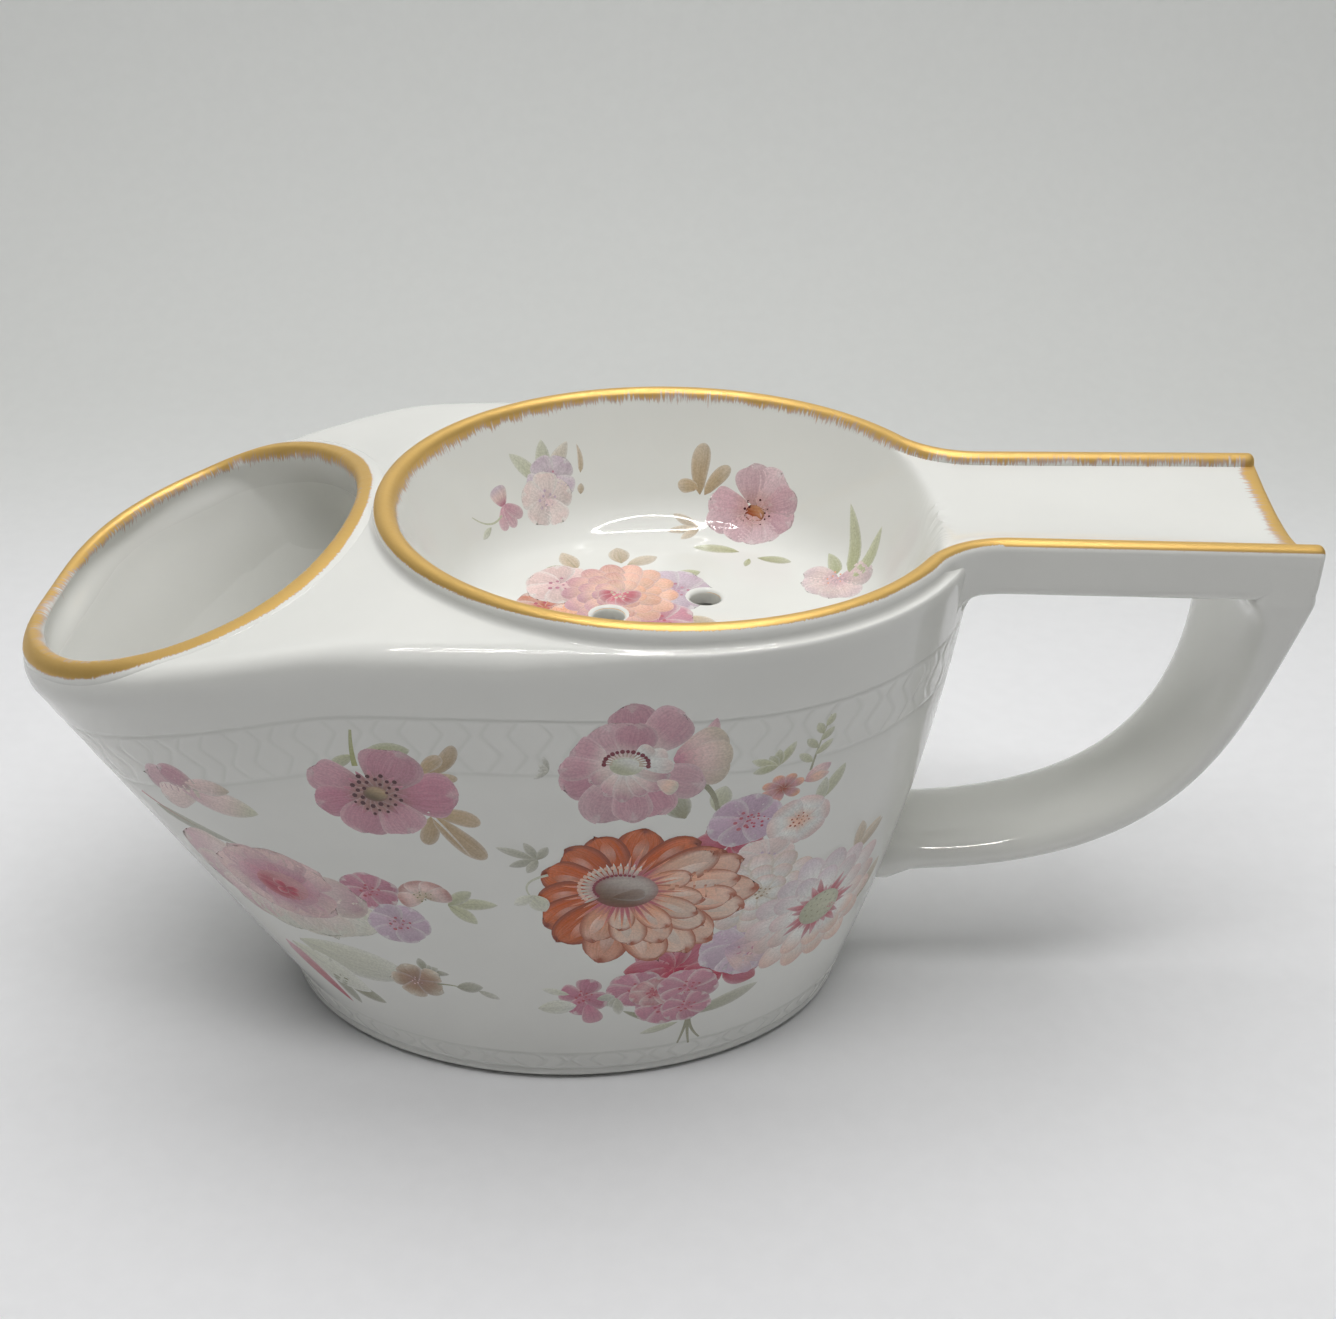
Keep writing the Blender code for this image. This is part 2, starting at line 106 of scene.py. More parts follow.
# Moulded borders
GROOVE = 0.36 * MM
ZIGZAG_REACH = 1.0 * MM
WALL_BORDER = {"pitch": 3.5 * MM, "period": 0.7}
FOOT_BORDER = {"pitch": 3.0 * MM, "period": 1.05, "height": FOOT_HEIGHT - FOOT_EDGE}

# Shoulder and brush mouth
DECK_FILLET = 0.9 * MM
CORNER_LEAD = 0.2
SEAT_LIP = 1.2 * MM
MOUTH_X = -69.4 * MM
MOUTH_Y = 0.8 * MM
MOUTH_STEPS = 320
LIP_RISE, LIP_FALL = 0.7 * MM, 1.7 * MM
LIP_CROWN, LIP_INNER = -0.1, -0.82
THROAT = 36.0 * MM
THROAT_FLARE = 22.0 * MM
LINING_SKIN = 1.0 * MM
SEARCH_STEP = 0.5 * MM
SEARCH_OUT, SEARCH_IN = 20, 120
HOLE_LEVELS = np.array((-9.0, -9.0, -5.0, -2.0, 0.0, 6.0, 6.0)) * MM
HOLE_POLE, HOLE_IN_CHAMBER = 74.5 * MM, -4 * MM
HOLE_CHAMBER_GAP, HOLE_WALL_GAP = 0.3 * MM, 1.6 * MM
LINING_SUNK, LINING_PROUD = 1.6 * MM, 0.4 * MM
DULL_FROM, DULL_TO = 1.0 * MM, 9.0 * MM

# Gilding: widths in millimetres, on the front and the spout's end of the mouth and on the left of the bowl
BARE = -9.0
MOUTH_GOLD, MOUTH_GOLD_FRONT, MOUTH_GOLD_SPOUT = 1.25, 0.7, 0.5
MOUTH_GOLD_INSIDE, MOUTH_GOLD_BACK, MOUTH_GOLD_LEFT = 0.7, 0.9, 0.5
MOUTH_GOLD_SLOPE = 5.0
BOWL_GOLD_INSIDE, TROUGH_GOLD_INSIDE, LEFT_GOLD_INSIDE = 2.3, 2.0, 0.9
BOWL_GOLD_OUTSIDE, TROUGH_GOLD_OUTSIDE, LEFT_GOLD_OUTSIDE = 1.2, 1.5, 0.7
TROUGH_END_GOLD = 2.6
OUTER_GOLD_SLOPE = 8.0
SIDE_LENGTH = 6.0
END_GOLD_RUN, END_RUN_SHARE = 400.0, 0.97

# Soap bowl and trough
BOWL_FLOOR = 63.0 * MM
BOWL_FLOOR_RADIUS = 26.0 * MM
BOWL_BEND = 9.0 * MM
BOWL_WALL = 2.4 * MM
BOWL_LEAN = math.radians(21.1)
TROUGH_HALF_WIDTH = 16.9 * MM
TROUGH_FLARE = 0.0216
TROUGH_FLOOR = 80.7 * MM
CHANNEL_POWER = 2.2
CHANNEL_TILT = 0.10
CHANNEL_TILT_FROM = 55 * MM
TROUGH_BOTTOM = 75.9 * MM
TROUGH_FILLET = 12.0 * MM
TROUGH_FILLET_X = 46.8 * MM
TROUGH_CORNER = 2.0 * MM
TROUGH_END_ROUND = 0.9 * MM
TROUGH_WEB = 2.8 * MM
TROUGH_SHARE = 0.9
BOWL_EDGE_DEPTH = 1.3 * MM
BOWL_CORNER = 0.2 * MM

DRAIN_RING = 9.3 * MM
DRAIN_TURNS = [math.radians(53 + 120 * index) for index in range(3)]
DRAIN_ROUND = 0.7 * MM

# Finger loop: guide points of its middle line, in millimetres
LOOP_GUIDE = ((86.4, 75.6), (86.4, 44.9), (76.8, 24.5), (33.0, 24.9))
LOOP_TOP_HALF_WIDTH = 17.8 * MM
LOOP_HALF_WIDTH = 8.7 * MM
LOOP_AROUND, LOOP_STATIONS, LOOP_NECK = 96, 92, 16
LOOP_CROWDING = 1.15
LOOP_ROUND, LOOP_SQUARE, LOOP_SQUARE_FADE = 2.2, 4.8, 0.085
LOOP_TOP_SWELL, LOOP_TOP_FADE = 0.6 * MM, 0.1
LOOP_FILLET, LOOP_FILLET_SHARE = 1.6 * MM, 0.06
LOOP_NECK_THINNING = 0.20
LOOP_FOOT_REACH, LOOP_FOOT_WIDENING, LOOP_FOOT_SWELL = 4.5 * MM, 0.20, 0.30
LOOP_FOOT_TOP = 50 * MM
LOOP_BURIED = 1.0 * MM

# Glaze
CLEAR_GLAZE_IOR = 1.52
# Tint of glaze pooled in the moulded grooves, which also paints shade into them
POOLED_AND_SHADED_TINT = (0.80, 0.82, 0.79, 1.0)
SPECK_COLOUR = (0.16, 0.12, 0.09, 1.0)


def unit_length(name, words, default):
    return bpy.props.FloatProperty(name=name, description=words, default=default, unit="LENGTH", precision=5)


def paint(name, words, default):
    return bpy.props.FloatVectorProperty(
        name=name, description=words, default=default, size=3, min=0.0, max=1.0, subtype="COLOR_GAMMA"
    )


class ScuttleSizes(bpy.types.PropertyGroup):
    lip_width: unit_length("Lip width", "Thickness of the rounded rim round the bowl and the trough", 3.1 * MM)
    edge_fall: unit_length("Shoulder round", "How far the shoulder's rounding reaches down the wall", 2.2 * MM)
    edge_roll: unit_length("Deck round", "How far the shoulder's rounding reaches over the deck", 5.0 * MM)
    band_height: unit_length("Border height", "Height of the moulded border under the shoulder", 9.8 * MM)
    relief_depth: unit_length("Border depth", "Depth of the moulded borders' grooves", 0.16 * MM)
    mouth_half_length: unit_length("Mouth half length", "Middle of the mouth's lip, along the scuttle", 23.9 * MM)
    mouth_half_width: unit_length("Mouth half width", "Middle of the mouth's lip, across the scuttle", 34.6 * MM)
    mouth_bead: unit_length("Mouth lip", "Half width of the rounded lip of the brush mouth", 1.7 * MM)
    drain_diameter: unit_length("Drain hole", "Diameter of the holes in the soap bowl's floor", 4.8 * MM)
    loop_half_thickness: unit_length("Loop half thickness", "Half the finger loop's thickness", 3.55 * MM)
    print_lift: unit_length("Print lift", "How far the printed flowers stand off the glaze", 0.025 * MM)


class ScuttleColours(bpy.types.PropertyGroup):
    glaze: paint("Glaze", "Clear glaze over white porcelain", (0.925, 0.925, 0.905))
    gold: paint("Gold", "Burnished gilding on the rims", (0.91, 0.75, 0.44))
    gold_edge: paint("Gold edge", "Thin, brownish gilding where the brush ran dry", (0.80, 0.69, 0.66))
    mauve: paint("Mauve", "Poppies and anemones", (0.78, 0.50, 0.585))
    orange: paint("Orange", "Outer petals of the dahlia", (0.79, 0.37, 0.16))
    peach: paint("Peach", "Inner petals of the dahlia", (0.95, 0.67, 0.51))
    rose: paint("Rose", "Heart of the rose and of the zinnia", (0.74, 0.26, 0.35))
    blush: paint("Blush", "Pale petals", (0.91, 0.80, 0.78))
    lilac: paint("Lilac", "Small blossoms", (0.79, 0.68, 0.76))
    leaf: paint("Leaf", "Green leaves", (0.69, 0.70, 0.48))
    olive: paint("Olive", "Stems and dark leaves", (0.51, 0.50, 0.33))
    tan: paint("Tan", "Scrolled leaves", (0.76, 0.66, 0.52))
    floor: paint("Floor", "Table", (0.955, 0.955, 0.96))
    backdrop: paint("Backdrop", "Backdrop behind the table", (0.87, 0.875, 0.865))


class ScuttleSettings(bpy.types.PropertyGroup):
    sizes: bpy.props.PointerProperty(type=ScuttleSizes)
    colours: bpy.props.PointerProperty(type=ScuttleColours)


def sizes():
    return bpy.context.scene.scuttle.sizes


def linear(colour):
    """A display colour as the linear values that shaders and attributes hold."""
    shares = np.asarray(colour, float)
    return np.where(shares <= 0.04045, shares / 12.92, ((shares + 0.055) / 1.055) ** 2.4)


def colour(name):
    return linear(getattr(bpy.context.scene.scuttle.colours, name))


def opaque(name):
    return (*colour(name), 1.0)


# Shapes of the body, as functions of the angle round the bowl's axis


def ease(value, low, high):
    share = np.clip((value - low) / (high - low), 0.0, 1.0)
    return share * share * (3 - 2 * share)


def mix(start, end, share):
    return start + (end - start) * share


def bend(start, corner, end, share):
    return (1 - share) ** 2 * start + 2 * share * (1 - share) * corner + share**2 * end


def steps(count, start=0.0, end=1.0):
    """Evenly spaced values after the start, up to the end."""
    return np.linspace(start, end, count + 1)[1:]


def soft_ramp(value, softness):
    return (value + np.hypot(value, softness)) / 2


def soft_min(first, second, softness):
    overlap = np.maximum(softness - np.abs(first - second), 0.0)
    return np.minimum(first, second) - overlap**2 / (4 * np.maximum(softness, TINY))


def body_angle(share):
    turn = math.tau * share
    return turn + CROWDING * np.sin(turn)


def round_axis(angle, radius, height):
    return np.stack([BOWL_X + radius * np.cos(angle), radius * np.sin(angle), height], axis=-1)


def shoulder_radius(angle):
    along, across = np.cos(angle), np.abs(np.sin(angle))
    reach = np.where(along > 0, SHOULDER_RIGHT, SPOUT_REACH)
    power = np.where(along > 0, 2.0, SPOUT_SQUARENESS)
    return ((np.abs(along) / reach) ** power + (across / SHOULDER_HALF_WIDTH) ** power) ** (-1 / power)


def foot_radius(angle, grow):
    half_length, half_width = FOOT_HALF_LENGTH + grow, FOOT_HALF_WIDTH + grow
    along, across = np.cos(angle), np.sin(angle)
    square = (along / half_length) ** 2 + (across / half_width) ** 2
    slant = along * FOOT_SHIFT / half_length**2
    rest = (FOOT_SHIFT / half_length) ** 2 - 1
    return (np.sqrt(slant**2 - square * rest) - slant) / square


def side_height(angle):
    x = shoulder_radius(angle) * np.cos(angle)
    return SIDE_HEIGHT - math.tan(DECK_TILT) * soft_ramp(SLOPE_FROM - x, SLOPE_SOFTNESS)


def handle_side(angle):
    return ease(shoulder_radius(angle) * np.cos(angle), RISE_FROM, RISE_TO)


def shoulder_height(angle):
    return side_height(angle) + (RIGHT_HEIGHT - SIDE_HEIGHT) * handle_side(angle)


def band_top(angle):
    return side_height(angle) - SKIRT


def wall_radius(angle, height):
    foot = foot_radius(angle, FOOT_FLARE)
    share = (height - FOOT_HEIGHT) / (shoulder_height(angle) - FOOT_HEIGHT)
    bulge = WALL_BULGE * (1 + np.cos(angle)) / 2
    return mix(foot, shoulder_radius(angle), share + bulge * share * (1 - share))


def bowl_outer_radius(height):
    inside = RIM_RADIUS - sizes().lip_width - (RIM_HEIGHT - sizes().lip_width / 2 - height) * math.tan(BOWL_LEAN)
    return inside + BOWL_WALL / math.cos(BOWL_LEAN)


def inner_radius(angle, height):
    outer = wall_radius(angle, height)
    change = wall_radius(angle + SLOPE_STEP, height) - wall_radius(angle - SLOPE_STEP, height)
    thickness = WALL * np.hypot(1.0, change / (2 * SLOPE_STEP * outer))
    return np.maximum(outer - thickness, bowl_outer_radius(height) + BOWL_CLEARANCE)


def edge_drop(angle):
    return EDGE_DROP * (1 - EDGE_DROP_LOST * handle_side(angle))


def deck_line(angle, radius):
    """The deck's height before the shoulder's rounding."""
    share = (radius - SEAT_RADIUS) / (shoulder_radius(angle) - SEAT_RADIUS)
    return mix(SEAT_HEIGHT, shoulder_height(angle) + edge_drop(angle), share)


def dish_height(radius, offset):
    """The bowl's inside, or its outside at an offset."""
    bend_radius = BOWL_BEND + offset
    wall_from = BOWL_FLOOR_RADIUS + bend_radius * math.cos(BOWL_LEAN)
    out = np.clip(radius - BOWL_FLOOR_RADIUS, 0.0, bend_radius * math.cos(BOWL_LEAN))
    bent = BOWL_FLOOR + BOWL_BEND - np.sqrt(bend_radius**2 - out**2)
    return bent + np.maximum(radius - wall_from, 0.0) / math.tan(BOWL_LEAN)


# Meshes


def rows_of(**spans):
    """The rows of a surface: the kind of each, and its place within that kind."""
    kinds = [kind for kind, places in spans.items() for _ in places]
    return np.array(kinds), np.concatenate(list(spans.values()))


def bent_grid(columns, rows, place, layers=None):
    """A grid of faces bent to a shape, with its touching edges sewn together."""
    bm = bmesh.new()
    bmesh.ops.create_grid(bm, x_segments=columns, y_segments=rows, size=0.5)
    shares = np.array([vertex.co[:2] for vertex in bm.verts]) + 0.5
    column = np.rint(shares[:, 0] * columns).astype(int)
    row = np.rint(shares[:, 1] * rows).astype(int)
    for vertex, point in zip(bm.verts, place(column, row)):
        vertex.co = point
    for name, measure in (layers or {}).items():
        layer = bm.verts.layers.float.new(name)
        for vertex, value in zip(bm.verts, measure(column, row)):
            vertex[layer] = value
    bmesh.ops.remove_doubles(bm, verts=bm.verts, dist=1e-6)
    bmesh.ops.recalc_face_normals(bm, faces=bm.faces)
    return bm


def as_object(name, bm, material):
    mesh = bpy.data.meshes.new(name)
    bm.to_mesh(mesh)
    bm.free()
    mesh.shade_smooth()
    mesh.materials.append(material)
    piece = bpy.data.objects.new(name, mesh)
    bpy.context.scene.collection.objects.link(piece)
    return piece


def carve(piece, cutters):
    """Cuts the shapes out of the piece for good."""
    for cutter in cutters:
        boolean = piece.modifiers.new("cut", "BOOLEAN")
        boolean.operation = "DIFFERENCE"
        boolean.solver = "EXACT"
        boolean.object = cutter
    evaluated = piece.evaluated_get(bpy.context.evaluated_depsgraph_get())
    mesh = bpy.data.meshes.new_from_object(evaluated)
    piece.modifiers.clear()
    piece.data = mesh
    for cutter in cutters:
        bpy.data.objects.remove(cutter)
    mesh.set_sharp_from_angle(angle=CUT_SMOOTH_BELOW)


def seat(piece, nodes=()):
    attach(piece, BODY)
    if nodes:
        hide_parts(*nodes)


# Materials


class Nodes:
    """The nodes of a material or of the world, which end in one shader."""

    def __init__(self, owner, shader):
        owner.use_nodes = True
        self.tree = owner.node_tree
        self.shader = self.tree.nodes[shader]

    def feed(self, node, inputs):
        """Gives each input a value, or links it to another node's output."""
        for key, value in inputs.items():
            if isinstance(value, bpy.types.NodeSocket):
                self.tree.links.new(value, node.inputs[key])
            else:
                node.inputs[key].default_value = value

    def end(self, **inputs):
        self.feed(self.shader, {key.replace("_", " "): value for key, value in inputs.items()})

    def add(self, kind, inputs=None, **settings):
        """Adds a node and gives its outputs."""
        node = self.tree.nodes.new("ShaderNode" + kind)
        for key, value in settings.items():
            setattr(node, key, value)
        self.feed(node, inputs or {})
        return node.outputs

    def attribute(self, name, output="Fac"):
        return self.add("Attribute", attribute_name=name, attribute_type="GEOMETRY")[output]

    def place(self):
        return self.add("TexCoord")["Object"]

    def noise(self, vector, scale, detail, roughness=0.5):
        return self.add("TexNoise", {"Vector": vector, "Scale": scale, "Detail": detail, "Roughness": roughness})["Fac"]

    def ramp(self, value, low, high, start, end):
        inputs = dict(enumerate((value, low, high, start, end)))
        return self.add("MapRange", inputs, interpolation_type="SMOOTHSTEP")["Result"]

    def math(self, operation, *values):
        return self.add("Math", dict(enumerate(values)), operation=operation)["Value"]

    def blend(self, factor, first, second, data_type="RGBA", blend_type="MIX"):
        inputs = {"Factor": factor, "A": first, "B": second}
        return self.add("Mix", inputs, data_type=data_type, blend_type=blend_type)["Result"]

    def graded(self, colour, **inputs):
        return self.add("HueSaturation", {"Color": colour, **inputs})["Color"]


def material_of(name, dress):
    """The named material, made when it is first asked for."""
    material = bpy.data.materials.get(name)
    if material is None:
        material = bpy.data.materials.new(name)
        dress(Nodes(material, "Principled BSDF"))
    return material


def glaze_finish(nodes, base):
    """Colour and roughness of uneven clear glaze: a slow ripple, faint mottling, a few dark specks, and glaze pooled in
    the grooves, darkened further with painted shade.
    """
    place = nodes.place()
    mottle = nodes.noise(place, 60.0, 3.0, 0.55)
    # Pooled glaze with painted shade: the border grooves and edge lines are tinted green-grey and darkened
    pooled_and_shaded = nodes.ramp(nodes.attribute("groove_pooling_and_shade"), 0.0, 1.0, 0.0, 0.35)
    deep = nodes.blend(pooled_and_shaded, base, POOLED_AND_SHADED_TINT, blend_type="MULTIPLY")
    mottled = nodes.graded(deep, Value=nodes.ramp(mottle, 0.3, 0.7, 0.975, 1.0))
    pits = nodes.add("TexVoronoi", {"Vector": place, "Scale": 95.0})
    speck = nodes.ramp(pits["Distance"], 0.035, 0.06, 1.0, 0.0)
    rare = nodes.ramp(pits["Color"], 0.955, 0.965, 0.0, 0.75)
    specked = nodes.blend(nodes.math("MULTIPLY", speck, rare), mottled, SPECK_COLOUR)
    ripple = nodes.noise(place, 150.0, 2.0, 0.4)
    bump = nodes.add("Bump", {"Strength": 0.025, "Distance": 0.4 * MM, "Height": ripple})["Normal"]
    gloss = nodes.ramp(mottle, 0.3, 0.75, 0.03, 0.07)
    matt = nodes.math("MULTIPLY_ADD", nodes.attribute("dullness"), 0.55, gloss)
    nodes.end(Normal=bump, IOR=CLEAR_GLAZE_IOR)
    return specked, matt


def dress_plain(nodes):
    """Plain glazed porcelain."""
    surface, gloss = glaze_finish(nodes, opaque("glaze"))
    nodes.end(Base_Color=surface, Roughness=gloss)


def dress_gilded(nodes):
    """Glazed porcelain with brushed gold, whose edge lies where the gilding attribute runs out."""
    surface, gloss = glaze_finish(nodes, opaque("glaze"))
    reach = nodes.attribute("gilding")
    brushed = nodes.add("CombineXYZ", {"X": nodes.attribute("gilding_run"), "Y": reach})["Vector"]
    stretched = nodes.add("Mapping", {"Vector": brushed, "Scale": (2.6, 0.16, 1.0)})["Vector"]
    strokes = nodes.noise(stretched, 1.0, 3.0, 0.6)
    swell = nodes.noise(brushed, 0.22, 2.0)
    ragged = nodes.math("MULTIPLY_ADD", strokes, 5.0, reach)
    drift = nodes.math("MULTIPLY_ADD", swell, 2.4, ragged)
    cover = nodes.ramp(drift, 3.45, 3.95, 0.0, 1.0)
    solid = nodes.ramp(drift, 3.65, 4.6, 0.0, 1.0)
    shine = nodes.ramp(drift, 3.7, 5.0, 0.2, 0.62)
    worn = nodes.ramp(strokes, 0.3, 0.7, 0.36, 0.48)
    leafing = nodes.blend(solid, opaque("gold_edge"), opaque("gold"))
    nodes.end(
        Base_Color=nodes.blend(cover, surface, leafing),
        Metallic=nodes.math("MULTIPLY", cover, shine),
        Roughness=nodes.blend(cover, gloss, worn, data_type="FLOAT"),
    )


def dress_printed(nodes):
    """Transfer colours under the same gloss as the porcelain, streaked along each petal and finely dotted."""
    fibres = nodes.attribute("print_grain", "Vector")
    stretched = nodes.add("Mapping", {"Vector": fibres, "Scale": (0.16, 1.5, 3.7)})["Vector"]
    streaks = nodes.noise(stretched, 1.6, 4.0, 0.6)
    grain = nodes.noise(nodes.place(), 3200.0, 2.0)
    value = nodes.math("MULTIPLY", nodes.ramp(streaks, 0.25, 0.75, 0.90, 1.05), nodes.ramp(grain, 0.3, 0.7, 0.90, 1.07))
    depth = nodes.ramp(streaks, 0.25, 0.75, 1.08, 0.92)
    ink = nodes.graded(nodes.attribute("print_colour", "Color"), Value=value, Saturation=depth)
    surface, gloss = glaze_finish(nodes, ink)
    nodes.end(Base_Color=surface, Roughness=gloss)


def plain_glaze():
    return material_of("glazed_porcelain", dress_plain)


def gilt_glaze():
    return material_of("gilded_porcelain", dress_gilded)


# Tub wall and foot


def border(height_at, pitch, period, height):
    """A border of upright zigzag ribs, mirrored in pairs, run along the wall at a height.

    Gives a function of the angle and of the share of the border's height: 1 in the grooves and along
    the edges, 0 on the pads.
    """
    angles = np.linspace(-math.pi, math.pi, 1441)
    path = round_axis(angles, wall_radius(angles, height_at(angles)), height_at(angles))
    lengths = np.linalg.norm(np.diff(path, axis=0), axis=1)
    distances = np.concatenate([[0.0], np.cumsum(lengths)])
    count = 4 * round(distances[-1] / pitch / 4)
    step = distances[-1] / count

    def carving(angle, across):
        turned = np.mod(angle + math.pi, math.tau) - math.pi
        cell = np.interp(turned, angles, distances) / distances[-1] * count
        wave = np.arcsin(0.93 * np.sin(math.tau * ((1 - across) / period - 0.17))) / 1.2
        groove = np.zeros_like(cell)
        for shift in (-1, 0, 1, 2):
            rib = np.floor(cell) + shift
            side = np.where(np.mod(rib, 4) < 2, 1.0, -1.0)
            away = (cell - rib) * step - side * wave * ZIGZAG_REACH
            groove = np.maximum(groove, np.exp(-((away / GROOVE) ** 2)))
        edge = np.minimum(across, 1 - across) * height - GROOVE
        return np.maximum(0.8 * groove * ease(edge, 0.0, 2 * GROOVE), np.exp(-((edge / GROOVE) ** 2)))

    return carving


class SCUTTLE_OT_wall(bpy.types.Operator):
    """Tub wall with the moulded border under the shoulder"""

    bl_idname = "scuttle.wall"
    bl_label = "Wall"

    def execute(self, context):
        band = sizes().band_height
        kinds, shares = rows_of(
            plain=np.linspace(0, 1, 18)[:-1], band=np.linspace(0, 1, 40), inside=np.linspace(1, 0, 32)
        )
        grooves = border(lambda angle: band_top(angle) - band / 2, height=band, **WALL_BORDER)

        def carving(column, row):
            index = row % len(kinds)
            return np.where(kinds[index] == "band", grooves(body_angle(column / BORDER_AROUND), shares[index]), 0.0)

        def place(column, row):
            angle, index = body_angle(column / BORDER_AROUND), row % len(kinds)
            top, kind, share = band_top(angle), kinds[index], shares[index]
            height = np.where(kind == "plain", mix(FOOT_HEIGHT, top - band, share), top - band * (1 - share))
            height = np.where(kind == "inside", mix(FOOT_HEIGHT, top, share), height)
            outer = wall_radius(angle, height) - sizes().relief_depth * carving(column, row)
            sunk = np.clip(1 - (height - FOOT_HEIGHT) / FLOOR_ROUND, 0.0, 1.0)
            inside = inner_radius(angle, height) - FLOOR_ROUND * (1 - np.sqrt(1 - sunk**2))
            return round_axis(angle, np.where(kind == "inside", inside, outer), height)

        def dull(column, row):
            return np.where(kinds[row % len(kinds)] == "inside", 1.0, 0.0)

        # The carving also marks the grooves for pooled glaze with painted shade
        grid = bent_grid(BORDER_AROUND, len(kinds), place, {"groove_pooling_and_shade": carving, "dullness": dull})
        piece = as_object("tub_wall", grid, plain_glaze())
        piece.data.set_sharp_from_angle(angle=SMOOTH_BELOW)
        seat(piece, ("body_wall",))
        return {"FINISHED"}


class SCUTTLE_OT_foot(bpy.types.Operator):
    """Foot with its moulded border, ring and floor"""

    bl_idname = "scuttle.foot"
    bl_label = "Foot"

    def execute(self, context):
        top, sides, bottom = self.stations()
        scales, grows, heights = (np.array(values) for values in zip(*top, *sides, *bottom))
        bordered = np.repeat((False, True, False), (len(top), len(sides), len(bottom)))
        grooves = border(lambda angle: np.full_like(angle, FOOT_HEIGHT), **FOOT_BORDER)

        def carving(column, row):
            share = np.clip((heights[row] - FOOT_EDGE) / (FOOT_HEIGHT - FOOT_EDGE), 0, 1)
            return np.where(bordered[row], grooves(body_angle(column / BORDER_AROUND), share), 0.0)

        def place(column, row):
            angle = body_angle(column / BORDER_AROUND)
            radius = scales[row] * foot_radius(angle, grows[row]) - sizes().relief_depth * carving(column, row)
            return round_axis(angle, np.maximum(radius, 0.0), heights[row])

        def dull(column, row):
            return np.where(heights[row] == FLOOR_HEIGHT, 1.0, 0.0)

        # The carving also marks the grooves for pooled glaze with painted shade
        grid = bent_grid(BORDER_AROUND, len(heights) - 1, place, {"groove_pooling_and_shade": carving, "dullness": dull})
        piece = as_object("foot", grid, plain_glaze())
        piece.data.set_sharp_from_angle(angle=SMOOTH_BELOW)
        seat(piece, ("foot_base",))
        return {"FINISHED"}

    def stations(self):
        """Rows of the floor, of the bordered side and of the underside: scale, growth and height of each."""
        ring_inside = -FOOT_EDGE - FOOT_RING
        recess = ring_inside - FOOT_RECESS
        top = [(0.0, 0.0, FLOOR_HEIGHT), (0.5, 0.0, FLOOR_HEIGHT), (1.0, -WALL - FOOT_EDGE, FLOOR_HEIGHT)]
        top += [(1.0, FOOT_FLARE - WALL, FOOT_HEIGHT), (1.0, FOOT_FLARE - 0.1 * MM, FOOT_HEIGHT)]
        sides = [
            (1.0, FOOT_FLARE * share, mix(FOOT_EDGE, FOOT_HEIGHT - 0.15 * MM, share))
            for share in np.linspace(1, 0, 26)
        ]
        bottom = [
            (1.0, FOOT_EDGE * (math.cos(turn) - 1), FOOT_EDGE * (1 - math.sin(turn)))
            for turn in steps(7, 0, math.pi / 2)
        ]
        bottom += [(1.0, ring_inside, 0.0), (1.0, ring_inside - 0.4 * MM, 0.35 * MM)]
        bottom += [(scale, recess, FOOT_RECESS) for scale in (1.0, 0.5, 0.0)]
        return top, sides, bottom


# Shoulder and brush mouth


def mouth_path(turn):
    """Plan of the middle of the mouth's lip, with its outward direction and the deck's height there."""
    half_length, half_width = sizes().mouth_half_length, sizes().mouth_half_width
    x = MOUTH_X + half_length * np.cos(turn)
    y = MOUTH_Y + half_width * np.sin(turn)
    out = np.stack([np.cos(turn) / half_length, np.sin(turn) / half_width], axis=-1)
    out /= np.linalg.norm(out, axis=-1, keepdims=True)
    angle, radius = np.arctan2(y, x), np.hypot(x, y)
    return x, y, out, deck_line(angle, np.minimum(radius, shoulder_radius(angle)))


def mouth_run(turn):
    """Distance along the mouth's lip, in millimetres."""
    return turn * (sizes().mouth_half_length + sizes().mouth_half_width) / 2 / MM


def mouth_gold(turn, out):
    """How far the gilding reaches past a point that lies out from the middle of the mouth's lip."""
    width = MOUTH_GOLD + MOUTH_GOLD_FRONT * ease(-np.sin(turn), -0.2, 0.7)
    width += MOUTH_GOLD_SPOUT * ease(-np.cos(turn), 0.8, 0.99)
    return MOUTH_GOLD_SLOPE * (width - out / MM)


def chamber_reach(x, y, out, height):
    """How far in plan the water chamber's wall, or the bowl's outside, lies from each point."""
    table = np.linspace(0.0, RIM_RADIUS, 200)
    bowl = np.interp(height, dish_height(table, BOWL_WALL), table, left=0.0)

    def inside(step):
        there_x, there_y = x + out[:, 0] * step, y + out[:, 1] * step
        radius, angle = np.hypot(there_x, there_y), np.arctan2(there_y, there_x)
        return (radius < inner_radius(angle, height)) & (radius > bowl)

    starts_inside = inside(np.zeros_like(x))
    reach = np.where(starts_inside, 0.0, -SEARCH_IN * SEARCH_STEP)
    going = np.ones(len(x), bool)
    for step in np.arange(1, SEARCH_OUT + 1) * SEARCH_STEP:
        going &= inside(step)
        reach = np.where(starts_inside & going, step, reach)
    for step in np.arange(-SEARCH_IN, 0) * SEARCH_STEP:
        reach = np.where(~starts_inside & inside(step), step, reach)
    low, high = reach, reach + SEARCH_STEP
    for _ in range(6):
        middle = (low + high) / 2
        within = inside(middle)
        low, high = np.where(within, middle, low), np.where(within, high, middle)
    return low


def shoulder_rounding(angle):
    """Radius and height of the start, the corner and the end of the shoulder's rounding, from wall to deck."""
    edge, low = shoulder_radius(angle), shoulder_height(angle) - sizes().edge_fall
    corner = edge + CORNER_LEAD * edge_drop(angle)
    end = np.maximum(edge - sizes().edge_roll, RIM_RADIUS + DECK_FILLET)
    return (wall_radius(angle, low), low), (corner, deck_line(angle, corner)), (end, deck_line(angle, end))


